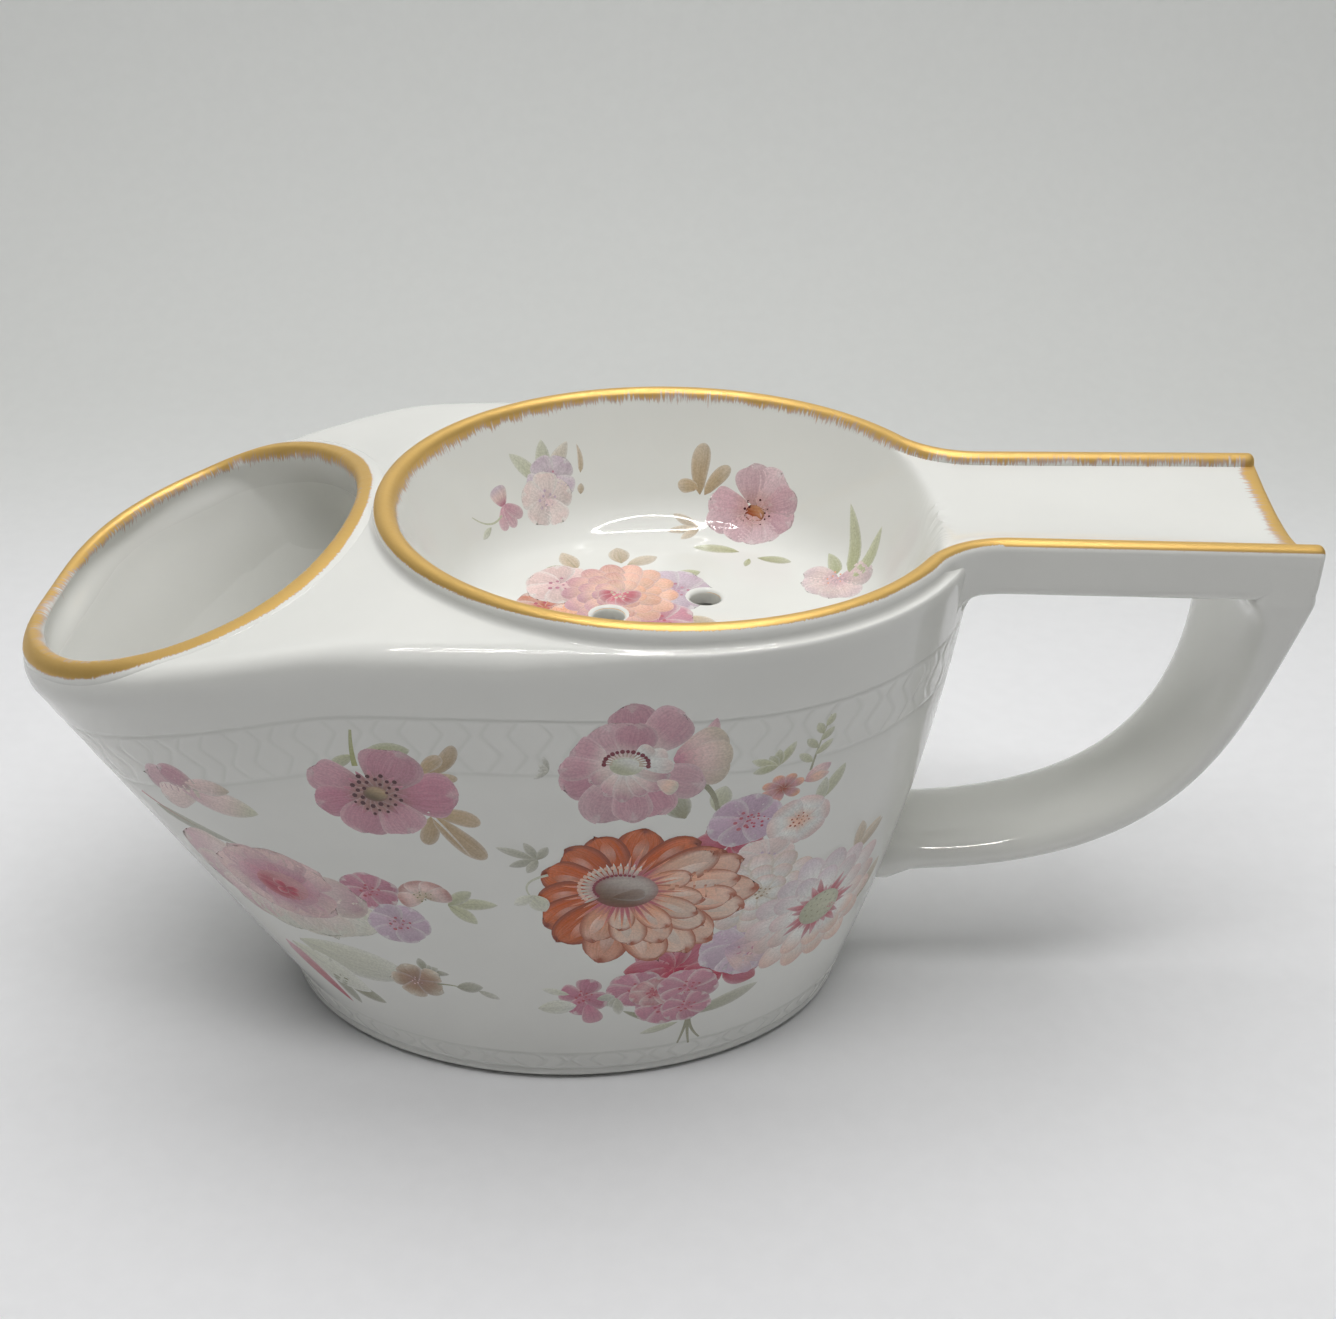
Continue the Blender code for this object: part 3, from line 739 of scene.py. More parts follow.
def over_shoulder(angle, radius, rise):
    """Lays points of the deck's plan over the shoulder's rounding and lifts them off the surface."""
    curve = shoulder_rounding(angle)
    path = [np.stack([bend(*values, share) for values in zip(*curve)]) for share in np.linspace(0, 1, 9)]
    length = sum(np.linalg.norm(after - before, axis=0) for before, after in zip(path, path[1:]))
    start, corner, end = (np.stack(point) for point in curve)
    share = np.clip(1 - (radius - end[0]) / length, 0.0, 1.0)
    slope = (1 - share) * (corner - start) + share * (end - corner)
    slope /= np.linalg.norm(slope, axis=0)
    flat = np.stack([radius, deck_line(angle, radius)])
    laid = np.where(radius <= end[0], flat, bend(start, corner, end, share))
    return laid + rise * np.stack([slope[1], -slope[0]])


class SCUTTLE_OT_shoulder(bpy.types.Operator):
    """Shoulder, sloping deck and the gilded lip of the brush mouth"""

    bl_idname = "scuttle.shoulder"
    bl_label = "Shoulder and mouth"

    def execute(self, context):
        kinds, shares = rows_of(
            wall=np.linspace(0, 1, 9)[:-1],
            rounding=np.linspace(0, 1, 15)[:-1],
            deck=np.linspace(0, 1, 15)[:-1],
            fillet=np.linspace(0, 1, 7),
            seat=(0.0, 1.0),
            under=steps(6),
            inside=(0.5, 1.0),
        )

        def place(column, row):
            angle = body_angle(column / AROUND)
            radius, height = np.zeros_like(angle), np.zeros_like(angle)
            for index, (kind, share) in enumerate(zip(kinds, shares)):
                here = row % len(kinds) == index
                radius[here], height[here] = self.profile(kind, share, angle[here])
            return round_axis(angle, radius, height)

        piece = as_object("shoulder", bent_grid(AROUND, len(kinds), place), plain_glaze())
        carve(piece, [self.mouth_hole(), self.trough_notch()])
        seat(piece, ("shoulder_deck",))
        self.mouth_lip()
        return {"FINISHED"}

    def profile(self, kind, share, angle):
        """Radius and height of one row."""
        start, corner, end = shoulder_rounding(angle)
        if kind == "wall":
            height = mix(band_top(angle), start[1], share)
            return wall_radius(angle, height), height
        if kind == "rounding":
            return tuple(bend(*values, share) for values in zip(start, corner, end))
        if kind == "deck":
            radius = mix(end[0], RIM_RADIUS + DECK_FILLET, share)
            return radius, deck_line(angle, radius)
        if kind == "fillet":
            turn = share * math.pi / 2
            radius = RIM_RADIUS + DECK_FILLET * (1 - math.sin(turn))
            return radius, deck_line(angle, radius) + DECK_FILLET * (1 - math.cos(turn))
        under_seat = SEAT_HEIGHT - DECK_THICKNESS
        if kind == "seat":
            return SEAT_RADIUS - share * SEAT_LIP, mix(SEAT_HEIGHT - 0.5 * MM, under_seat, share)
        inner_deck = deck_line(angle, shoulder_radius(angle) - WALL)
        corner_height = np.minimum(inner_deck - DECK_THICKNESS - edge_drop(angle) / 2, under_seat)
        if kind == "under":
            wall_inside = np.maximum(inner_radius(angle, corner_height), SEAT_RADIUS - 0.9 * MM)
            return mix(SEAT_RADIUS - SEAT_LIP, wall_inside, share), mix(under_seat, corner_height, share)
        height = mix(corner_height, band_top(angle), share)
        return inner_radius(angle, height), height

    def mouth_hole(self):
        """Cutter for the mouth, which keeps inside the wall's outer face and, lower down, inside the chamber."""
        around = 96

        def place(column, row):
            x, y, _, height = mouth_path(math.tau * column / around)
            angle, level = np.arctan2(y, x), HOLE_LEVELS[row]
            reached = np.minimum(height + level, shoulder_height(angle))
            chamber = inner_radius(angle, reached) - HOLE_CHAMBER_GAP
            outside = wall_radius(angle, reached) - HOLE_WALL_GAP
            radius = np.minimum(np.hypot(x, y), np.where(level < HOLE_IN_CHAMBER, chamber, outside))
            points = round_axis(angle, radius, height + level)
            pole = (row == 0) | (row == len(HOLE_LEVELS) - 1)
            points[pole, 0], points[pole, 1], points[pole, 2] = BOWL_X + MOUTH_X, 0.0, HOLE_POLE + level[pole]
            return points

        return as_object("mouth_hole", bent_grid(around, len(HOLE_LEVELS) - 1, place), plain_glaze())

    def trough_notch(self):
        bm = bmesh.new()
        size = Vector((30 * MM, 2 * TROUGH_HALF_WIDTH - 3.0 * MM, 20 * MM))
        middle = Vector((BOWL_X + 45 * MM, 0.0, TROUGH_BOTTOM + 1.5 * MM + size.z / 2))
        bmesh.ops.create_cube(bm, size=1.0, matrix=Matrix.LocRotScale(middle, None, size))
        return as_object("trough_notch", bm, plain_glaze())

    def lip_section(self):
        """Rows of the lip and of its lining: how far out, how far up, and the share of the throat's depth."""
        half = sizes().mouth_bead
        lip = [(1.2 * half, -1.5 * MM, 0.0), (1.75 * half, -0.3 * MM, 0.0)]
        for share in np.linspace(0, 1, 9):
            lip.append((mix(1.6, LIP_CROWN, share) * half, LIP_RISE * math.sin(share * math.pi / 2), 0.0))
        for turn in steps(9, 0, math.pi / 2):
            out = mix(LIP_CROWN, LIP_INNER, math.sin(turn)) * half
            lip.append((out, LIP_RISE - LIP_FALL * (1 - math.cos(turn)), 0.0))
        lining = [(LIP_INNER * half, LIP_RISE - LIP_FALL, share**1.4) for share in steps(40)]
        return lip, lining

    def mouth_lip(self):
        """The mouth's rounded edge, flush with the deck outside and flaring into the chamber inside."""
        lip, lining = self.lip_section()
        size = (MOUTH_STEPS, len(lip) + len(lining))
        offsets, rises, depths = (np.array(values) for values in zip(*lip, *lining))
        column, index = (values.ravel() for values in np.indices(size))
        turn, down = math.tau * column / MOUTH_STEPS, THROAT * depths[index]
        x, y, out, _ = mouth_path(turn)
        x, y = x + out[:, 0] * offsets[index], y + out[:, 1] * offsets[index]
        angle = np.arctan2(y, x)
        radius, top = over_shoulder(angle, np.hypot(x, y), rises[index])
        points = round_axis(angle, radius, top - down)
        reach = chamber_reach(points[:, 0] - BOWL_X, points[:, 1], out, points[:, 2])
        points[:, :2] += out * self.flare(reach.reshape(size), down)[:, None]
        gilding = self.lip_gilding(turn, offsets[index], rises[index], down)

        def sheet(front, behind):
            """Values of the front rows, then of the lining's back rows from the bottom up, for every column."""
            front, behind = (values.reshape(*size, -1) for values in (front, behind))
            both = np.concatenate([front, behind[:, len(lip) :][:, ::-1]], axis=1).squeeze()
            return lambda column, row: both[column % MOUTH_STEPS, row % both.shape[1]]

        layers = {
            "gilding": sheet(gilding, np.full_like(gilding, BARE)),
            "gilding_run": lambda column, row: mouth_run(math.tau * column / MOUTH_STEPS),
            "dullness": sheet(ease(down, DULL_FROM, DULL_TO), np.ones_like(down)),
        }
        place = sheet(points, points + np.pad(LINING_SKIN * out, ((0, 0), (0, 1))))
        bm = bent_grid(MOUTH_STEPS, len(lip) + 2 * len(lining), place, layers)
        seat(as_object("mouth_lip", bm, gilt_glaze()))

    def flare(self, reach, down):
        """How far the lining stands out at each depth, smoothed round the mouth, until it meets the chamber."""
        for _ in range(2):
            reach = sum(np.roll(reach, shift, axis=0) for shift in range(-5, 6)) / 11
        reach = reach.ravel() + LINING_PROUD * mix(-1, 1, ease(down, 10.0 * MM, 26.0 * MM))
        sunk = LINING_SUNK * ease(down, 0.6 * THROAT, THROAT)
        return np.where(reach < 0, ease(down, 0.0, 4.0 * MM), ease(down, 0.0, THROAT_FLARE)) * reach + sunk

    def lip_gilding(self, turn, offset, rise, down):
        """How far the gilding reaches past each point of the lip and of its lining, in millimetres."""
        far = MOUTH_GOLD_BACK * ease(np.sin(turn), -0.4, 0.6) + MOUTH_GOLD_LEFT * ease(-np.cos(turn), 0.2, 1.0)
        inside = MOUTH_GOLD_INSIDE + far + (rise - LIP_RISE - down) / MM
        gilding = np.where(offset > LIP_CROWN * sizes().mouth_bead, mouth_gold(turn, offset), inside)
        return np.maximum(np.where(down > 0, np.minimum(gilding, inside), gilding), BARE)


# Soap bowl and trough


class Rim:
    """The rim's inner line, from the trough's end round the bowl and back, as arrays with one value for each column.

    x and y are its points, out_x and out_y its outward directions, and middle the places on the centre line
    that the columns run from. share is 1 along the trough, 0 round the bowl, and inset rounds the trough's end.
    """

    def __init__(self):
        lip = sizes().lip_width
        circle = RIM_RADIUS - lip
        self.half_width, self.fillet = TROUGH_HALF_WIDTH - lip, TROUGH_FILLET + lip
        self.corner_y = self.half_width + self.fillet
        self.corner_x = math.sqrt((circle + self.fillet) ** 2 - self.corner_y**2)
        tangent = math.atan2(self.corner_y, self.corner_x)
        straight = [
            (TROUGH_END - TROUGH_END_ROUND * (1 - math.sin(turn)), TROUGH_END_ROUND * (1 - math.cos(turn)))
            for turn in np.linspace(math.pi / 2, 0, 7)
        ]
        straight += [(x, 0.0) for x in np.linspace(TROUGH_END - 2 * TROUGH_END_ROUND, self.corner_x, 40)[:-1]]
        half = []
        for x, inset in straight:
            half.append((x, self.half_width + TROUGH_FLARE * (x - self.corner_x), 0.0, 1.0, x, inset, 1.0))
        for share in np.linspace(1, 0, 36):
            turn = mix(math.pi + tangent, 1.5 * math.pi, share)
            right, back = math.cos(turn), math.sin(turn)
            x, y = self.corner_x + self.fillet * right, self.corner_y + self.fillet * back
            half.append((x, y, -right, -back, self.corner_x * share, 0.0, share))
        for turn in steps(119, tangent, math.pi):
            right, back = math.cos(turn), math.sin(turn)
            half.append((circle * right, circle * back, right, back, 0.0, 0.0, 0.0))
        mirrored = [(x, -y, right, -back, *rest) for x, y, right, back, *rest in reversed(half[:-1])]
        self.x, self.y, self.out_x, self.out_y, self.middle, self.inset, self.share = np.array(half + mirrored).T

    def beside(self, column, out):
        """Plan of the points that lie a distance out from the line."""
        return self.x[column] + self.out_x[column] * out, self.y[column] + self.out_y[column] * out

    def distance_inside(self, x, y):
        """How far a point lies inside the trough's rim, in plan."""
        side = np.abs(y)
        straight = self.half_width + TROUGH_FLARE * np.maximum(x - self.corner_x, 0.0) - side
        rounded = np.hypot(x - self.corner_x, side - self.corner_y) - self.fillet
        return np.where(x >= self.corner_x, straight, rounded)


class SCUTTLE_OT_bowl(bpy.types.Operator):
    """Soap bowl with its drain holes, opening into the brush trough"""

    bl_idname = "scuttle.bowl"
    bl_label = "Soap bowl and trough"

    def execute(self, context):
        rim = Rim()
        kinds, shares = rows_of(
            hollow=np.concatenate([np.linspace(0.0, 0.6, 36)[:-1], np.linspace(0.6, 1.0, 66)]),
            lip=steps(16),
            side=steps(6),
            corner=steps(5),
            under=steps(29, 1, 0),
        )
        run_shares = np.where(kinds == "hollow", shares, 1.0)
        lengths = np.hypot(np.diff(rim.x), np.diff(rim.y)) / MM
        along = np.concatenate([[0.0], np.cumsum(lengths)])

        def by_row(measure, column, row):
            """Values of a function of the row's kind, its share and the columns."""
            parts = [row == index for index in range(len(kinds))]
            values = [measure(rim, *item, column[here]) for *item, here in zip(kinds, shares, parts)]
            result = np.zeros((len(column), *values[0].shape[1:]))
            for here, value in zip(parts, values):
                result[here] = value
            return result

        place, gilt = partial(by_row, self.surface), partial(by_row, self.gilding)

        def run(column, row):
            in_trough = rim.share[column] > TROUGH_SHARE
            at_end = gilt(column, row) > self.inside_gold(rim, column)
            at_end = in_trough & (at_end | (run_shares[row] < END_RUN_SHARE))
            return np.where(at_end, rim.y[column] * run_shares[row] / MM + END_GOLD_RUN, along[column])

        bm = bent_grid(len(rim.x) - 1, len(kinds) - 1, place, {"gilding": gilt, "gilding_run": run})
        bmesh.ops.edgeloop_fill(bm, edges=[edge for edge in bm.edges if edge.is_boundary])
        bmesh.ops.recalc_face_normals(bm, faces=bm.faces)
        piece = as_object("bowl_and_trough", bm, gilt_glaze())
        carve(piece, [self.drain(turn) for turn in DRAIN_TURNS])
        seat(piece, ("soap_bowl", "brush_trough"))
        return {"FINISHED"}

    def surface(self, rim, kind, share, column):
        """Points of one row: of the hollow, of the lip, of the outer side, of its lower corner or of the underside."""
        half_lip, inset = sizes().lip_width / 2, rim.inset[column]
        crest, outer = RIM_HEIGHT - half_lip, sizes().lip_width - inset
        if kind == "hollow":
            x, y = rim.beside(column, inset)
            x, y = mix(rim.middle[column], x, share), y * share
            z = self.hollow(rim, x, y, column) if share < 1 else np.full_like(x, crest)
            return np.stack([BOWL_X + x, y, z], axis=-1)
        if kind == "lip":
            turn = math.pi * (1 - share)
            x, y = rim.beside(column, half_lip + (half_lip - inset) * math.cos(turn))
            return np.stack([BOWL_X + x, y, crest + (half_lip - inset) * math.sin(turn)], axis=-1)
        corner = np.where(rim.share[column] > 0, TROUGH_CORNER, BOWL_CORNER)
        if kind == "under":
            x, y = rim.beside(column, outer - corner)
            x, y = mix(rim.middle[column], x, share), y * share
            z = np.minimum(dish_height(np.hypot(x, y), BOWL_WALL), self.underside(rim, x, y, column))
            return np.stack([BOWL_X + x, y, z], axis=-1)
        low = self.underside(rim, *rim.beside(column, sizes().lip_width), column)
        turn = share * math.pi / 2 if kind == "corner" else 0.0
        x, y = rim.beside(column, outer - corner * (1 - math.cos(turn)))
        z = low + corner * (1 - math.sin(turn)) if kind == "corner" else mix(crest, low + corner, share)
        return np.stack([BOWL_X + x, y, z], axis=-1)

    def hollow(self, rim, x, y, column):
        """Height of the bowl's inside, joined with the trough's channel."""
        inset, share = rim.inset[column], rim.share[column]
        dish = dish_height(np.hypot(x, y), 0.0)
        across = np.abs(y) / np.maximum(np.abs(y) + rim.distance_inside(x, y) + inset, TINY)
        channel = mix(TROUGH_FLOOR - inset, RIM_HEIGHT - sizes().lip_width / 2, across**CHANNEL_POWER)
        channel += CHANNEL_TILT * y * (1 - across**2) * ease(x, CHANNEL_TILT_FROM, TROUGH_END)
        joined = soft_min(dish, channel, 1.8 * MM * ease(share, 0.0, 0.4))
        return np.where(share <= 0, dish, joined)

    def underside(self, rim, x, y, column):
        """Height of the trough's underside, which curves down to meet the wall, or of the bowl's outer edge."""
        over = np.hypot(x, y) - wall_radius(np.arctan2(y, x), np.full_like(x, TROUGH_BOTTOM))
        near = np.clip(TROUGH_WEB - over, 0.0, TROUGH_WEB)
        webbed = TROUGH_WEB - np.sqrt(np.maximum(TROUGH_WEB**2 - near**2, 0.0))
        bowl_edge = RIM_HEIGHT - sizes().lip_width / 2 - BOWL_EDGE_DEPTH
        return np.where(rim.share[column] > 0, TROUGH_BOTTOM + rim.inset[column] - webbed, bowl_edge)

    def leftness(self, rim, column):
        return ease(-rim.x[column] / RIM_RADIUS, 0.0, 1.0) * (rim.share[column] <= 0)

    def inside_gold(self, rim, column):
        width = np.where(rim.share[column] > TROUGH_SHARE, TROUGH_GOLD_INSIDE, BOWL_GOLD_INSIDE)
        return width + LEFT_GOLD_INSIDE * self.leftness(rim, column)

    def gilding(self, rim, kind, share, column):
        """How far the gilding reaches past one row, in millimetres."""
        inside = self.inside_gold(rim, column)
        in_trough = rim.share[column] > TROUGH_SHARE
        round_bowl = BOWL_GOLD_OUTSIDE + LEFT_GOLD_OUTSIDE * self.leftness(rim, column)
        outside = np.where(in_trough, TROUGH_GOLD_OUTSIDE, round_bowl)
        lip_length = sizes().lip_width / 2 / MM * math.pi / 2
        reach = np.full(len(column), BARE)
        if kind == "hollow":
            width = np.hypot(rim.x[column] - rim.middle[column], rim.y[column])
            reach = inside - lip_length - width * (1 - share) / MM / math.sin(BOWL_LEAN)
        elif kind == "lip":
            away = lip_length * (2 * share - 1)
            reach = np.where(away < 0, inside + away, OUTER_GOLD_SLOPE * (outside - away))
        elif kind == "side":
            reach = OUTER_GOLD_SLOPE * (outside - lip_length - share * SIDE_LENGTH)
        if kind == "hollow" or kind == "lip" and share < 0.75:
            end = TROUGH_END_GOLD - (TROUGH_END - rim.x[column]) / MM
            reach = np.maximum(reach, np.where(in_trough, end, BARE))
        return np.maximum(reach, BARE)

    def drain(self, turn):
        """Cutter for a hole with a rounded upper edge."""
        radius, around, below, above = sizes().drain_diameter / 2, 40, -6 * MM, 4 * MM
        profile = [(0.0, below), (radius, below), (radius, -DRAIN_ROUND)]
        for bent in steps(5, 0, math.pi / 2):
            profile.append((radius + DRAIN_ROUND * (1 - math.cos(bent)), DRAIN_ROUND * (math.sin(bent) - 1)))
        flare = radius + DRAIN_ROUND + 0.05 * MM
        profile += [(flare, 0.02 * MM), (flare + 1.4 * MM, above), (0.0, above)]
        radii, heights = (np.array(values) for values in zip(*profile))
        centre = np.array((BOWL_X + DRAIN_RING * math.cos(turn), DRAIN_RING * math.sin(turn), BOWL_FLOOR))

        def place(column, row):
            around_hole = math.tau * column / around
            reach = radii[row]
            return centre + np.stack([reach * np.cos(around_hole), reach * np.sin(around_hole), heights[row]], axis=-1)

        return as_object("drain", bent_grid(around, len(profile) - 1, place), gilt_glaze())


class SCUTTLE_OT_loop(bpy.types.Operator):
    """Finger loop, from under the trough's end down to the wall"""

    bl_idname = "scuttle.loop"
    bl_label = "Finger loop"

    def execute(self, context):
        bm = bent_grid(LOOP_AROUND, LOOP_STATIONS, self.surface)
        bmesh.ops.holes_fill(bm, edges=[edge for edge in bm.edges if edge.is_boundary], sides=0)
        bmesh.ops.recalc_face_normals(bm, faces=bm.faces)
        piece = as_object("finger_loop_strap", bm, plain_glaze())
        piece.data.set_sharp_from_angle(angle=SMOOTH_BELOW)
        seat(piece, ("finger_loop",))
        return {"FINISHED"}

    def middle_line(self, share):
        """Points on the strap's middle line, in side view, and the directions towards the finger."""
        first, second, third, last = (np.array(point) * MM for point in LOOP_GUIDE)
        share = share[:, None]
        rest = 1 - share
        middle = rest**3 * first + 3 * rest**2 * share * second + 3 * rest * share**2 * third + share**3 * last
        slope = rest**2 * (second - first) + 2 * rest * share * (third - second) + share**2 * (last - third)
        slope /= np.maximum(np.linalg.norm(slope, axis=1, keepdims=True), TINY)
        return middle.T, (slope[:, 1], -slope[:, 0])

    def section(self, share, turn):
        """Where a point lies across and through a strap of half width and half thickness 1, squarer near its top."""
        power = 2 / (LOOP_ROUND + LOOP_SQUARE * np.exp(-share / LOOP_SQUARE_FADE))
        return [np.sign(value) * np.abs(value) ** power for value in (np.cos(turn), np.sin(turn))]

    def surface(self, column, row):
        thickness = sizes().loop_half_thickness
        raised = np.maximum(LOOP_NECK - row, 0) / LOOP_NECK
        share = (np.maximum(row - LOOP_NECK, 0) / (LOOP_STATIONS - LOOP_NECK)) ** LOOP_CROWDING
        (middle_x, middle_z), (inward_x, inward_z) = self.middle_line(share)
        across, through = self.section(share, math.tau * column / LOOP_AROUND)
        depth = (thickness + LOOP_TOP_SWELL * np.exp(-share / LOOP_TOP_FADE)) * through
        fillet = LOOP_FILLET * np.maximum(1 - share / LOOP_FILLET_SHARE, 0.0) ** 2
        depth = np.where(depth > 0, depth * (1 + fillet / thickness), depth)
        depth = np.where(depth < 0, depth * (1 - LOOP_NECK_THINNING * ease(raised, 0.0, 0.85)), depth)
        trough_x = middle_x + inward_x * depth - TROUGH_FILLET_X
        trough_half = TROUGH_HALF_WIDTH + TROUGH_FLARE * trough_x + 0.03 * MM
        half_width = mix(LOOP_HALF_WIDTH, LOOP_TOP_HALF_WIDTH, np.exp(-((share / 0.3) ** 1.1)))
        half_width = mix(half_width, trough_half, ease(raised, -0.06, 0.3))
        wall_x = wall_radius(np.zeros_like(middle_x), middle_z)
        near = np.maximum(1 - np.maximum(middle_x - wall_x, 0.0) / LOOP_FOOT_REACH, 0.0) ** 2
        across = across * half_width * (1 + LOOP_FOOT_WIDENING * near)
        depth = depth * (1 + LOOP_FOOT_SWELL * near)
        side = ease(np.abs(across) / half_width, 0.90, 0.94)
        neck_top = mix(TROUGH_FLOOR - 1.2 * MM, RIM_HEIGHT - 2.9 * MM, side)
        x, z = middle_x + inward_x * depth, middle_z + inward_z * depth + raised * (neck_top - middle_z)
        angle = np.arctan2(across, np.maximum(x, 20 * MM))
        buried = (wall_radius(angle, z) - LOOP_BURIED) * np.cos(angle)
        x = np.maximum(x, np.where(z < LOOP_FOOT_TOP, buried, 0.0))
        return np.stack([BOWL_X + x, across, z], axis=-1)


# Printed flowers: thin sheets of colour laid on the glaze

INK_STEP = 0.001 * MM
DOT_CORNERS, DOT_STEP = 7, 0.05
GOLDEN_TURN = 2.39996
STAMEN = linear((0.33, 0.16, 0.19))
PETAL_GRID, STEM_GRID, DOME_GRID = (8, 11), (2, 12), (24, 6)
EDGE_CROWDING = 1.6
LIGHT_RIGHT, LIGHT_UP = 0.5, 0.86
LIGHT_ACROSS, LIGHT_ALONG = 0.13, 0.16
TONE_CHANGE = 0.07

# Outline of a petal: root power, tip power and tip roundness
OUTLINES = {
    "round": (0.62, 5.0, 0.5),
    "long": (0.50, 4.0, 0.55),
    "leaf": (0.75, 1.7, 0.85),
    "blade": (0.35, 1.6, 0.9),
}


def tone(name, pale=0.0):
    """A named colour, thinned towards the white of the glaze."""
    return mix(colour(name), colour("glaze"), pale)


INKS = ("glaze", "mauve", "orange", "peach", "rose", "blush", "lilac", "leaf", "olive", "tan")
glaze, mauve, orange, peach, rose, blush, lilac, leaf, olive, tan = (partial(tone, name) for name in INKS)


def shades(ink, *pale):
    """One ink, thinned to several shares."""
    return tuple(ink(share) for share in pale)


def toward(angle, reach, start=(0.0, 0.0)):
    return start[0] + reach * math.cos(angle), start[1] + reach * math.sin(angle)


def wall_patch(angle, height):
    """Lays a flat drawing (right, up, lift) on the outside of the wall."""
    middle = np.array([math.radians(angle), height * MM])

    def point(around, up):
        return round_axis(around, wall_radius(around, up), up)

    centre = point(*middle)
    right = point(middle[0] + 1e-3, middle[1]) - centre
    right /= np.linalg.norm(right)
    up = point(middle[0], middle[1] + 1e-4) - centre
    up -= right * (up @ right)
    up /= np.linalg.norm(up)

    def place(across, upward, lift):
        flat = centre + across[:, None] * right + upward[:, None] * up
        around = np.arctan2(flat[:, 1], flat[:, 0] - BOWL_X)
        return round_axis(around, wall_radius(around, flat[:, 2]) + lift, flat[:, 2])

    return place


def bowl_patch(angle, length):
    """Lays a flat drawing on the bowl's inner wall, at a distance from the middle along the surface."""
    bend_length = BOWL_BEND * (math.pi / 2 - BOWL_LEAN)
    middle = math.radians(angle)

    def profile(along):
        turn = np.clip(along - BOWL_FLOOR_RADIUS, 0.0, bend_length) / BOWL_BEND
        wall = np.maximum(along - BOWL_FLOOR_RADIUS - bend_length, 0.0)
        radius = np.minimum(along, BOWL_FLOOR_RADIUS) + BOWL_BEND * np.sin(turn) + wall * math.sin(BOWL_LEAN)
        return radius, BOWL_FLOOR + BOWL_BEND * (1 - np.cos(turn)) + wall * math.cos(BOWL_LEAN), turn

    centre_radius = profile(np.array([length * MM]))[0][0]

    def place(across, upward, lift):
        radius, height, turn = profile(length * MM + upward)
        around = middle - across / centre_radius
        return round_axis(around, radius - lift * np.sin(turn), height + lift * np.cos(turn))

    return place


def floor_patch(x, y):
    """Lays a flat drawing on the bowl's floor, seen from above."""

    def place(across, upward, lift):
        east, north = x * MM + across, y * MM + upward
        height = dish_height(np.hypot(east, north), 0.0) + lift
        return np.stack([BOWL_X + east, north, height], axis=-1)

    return place


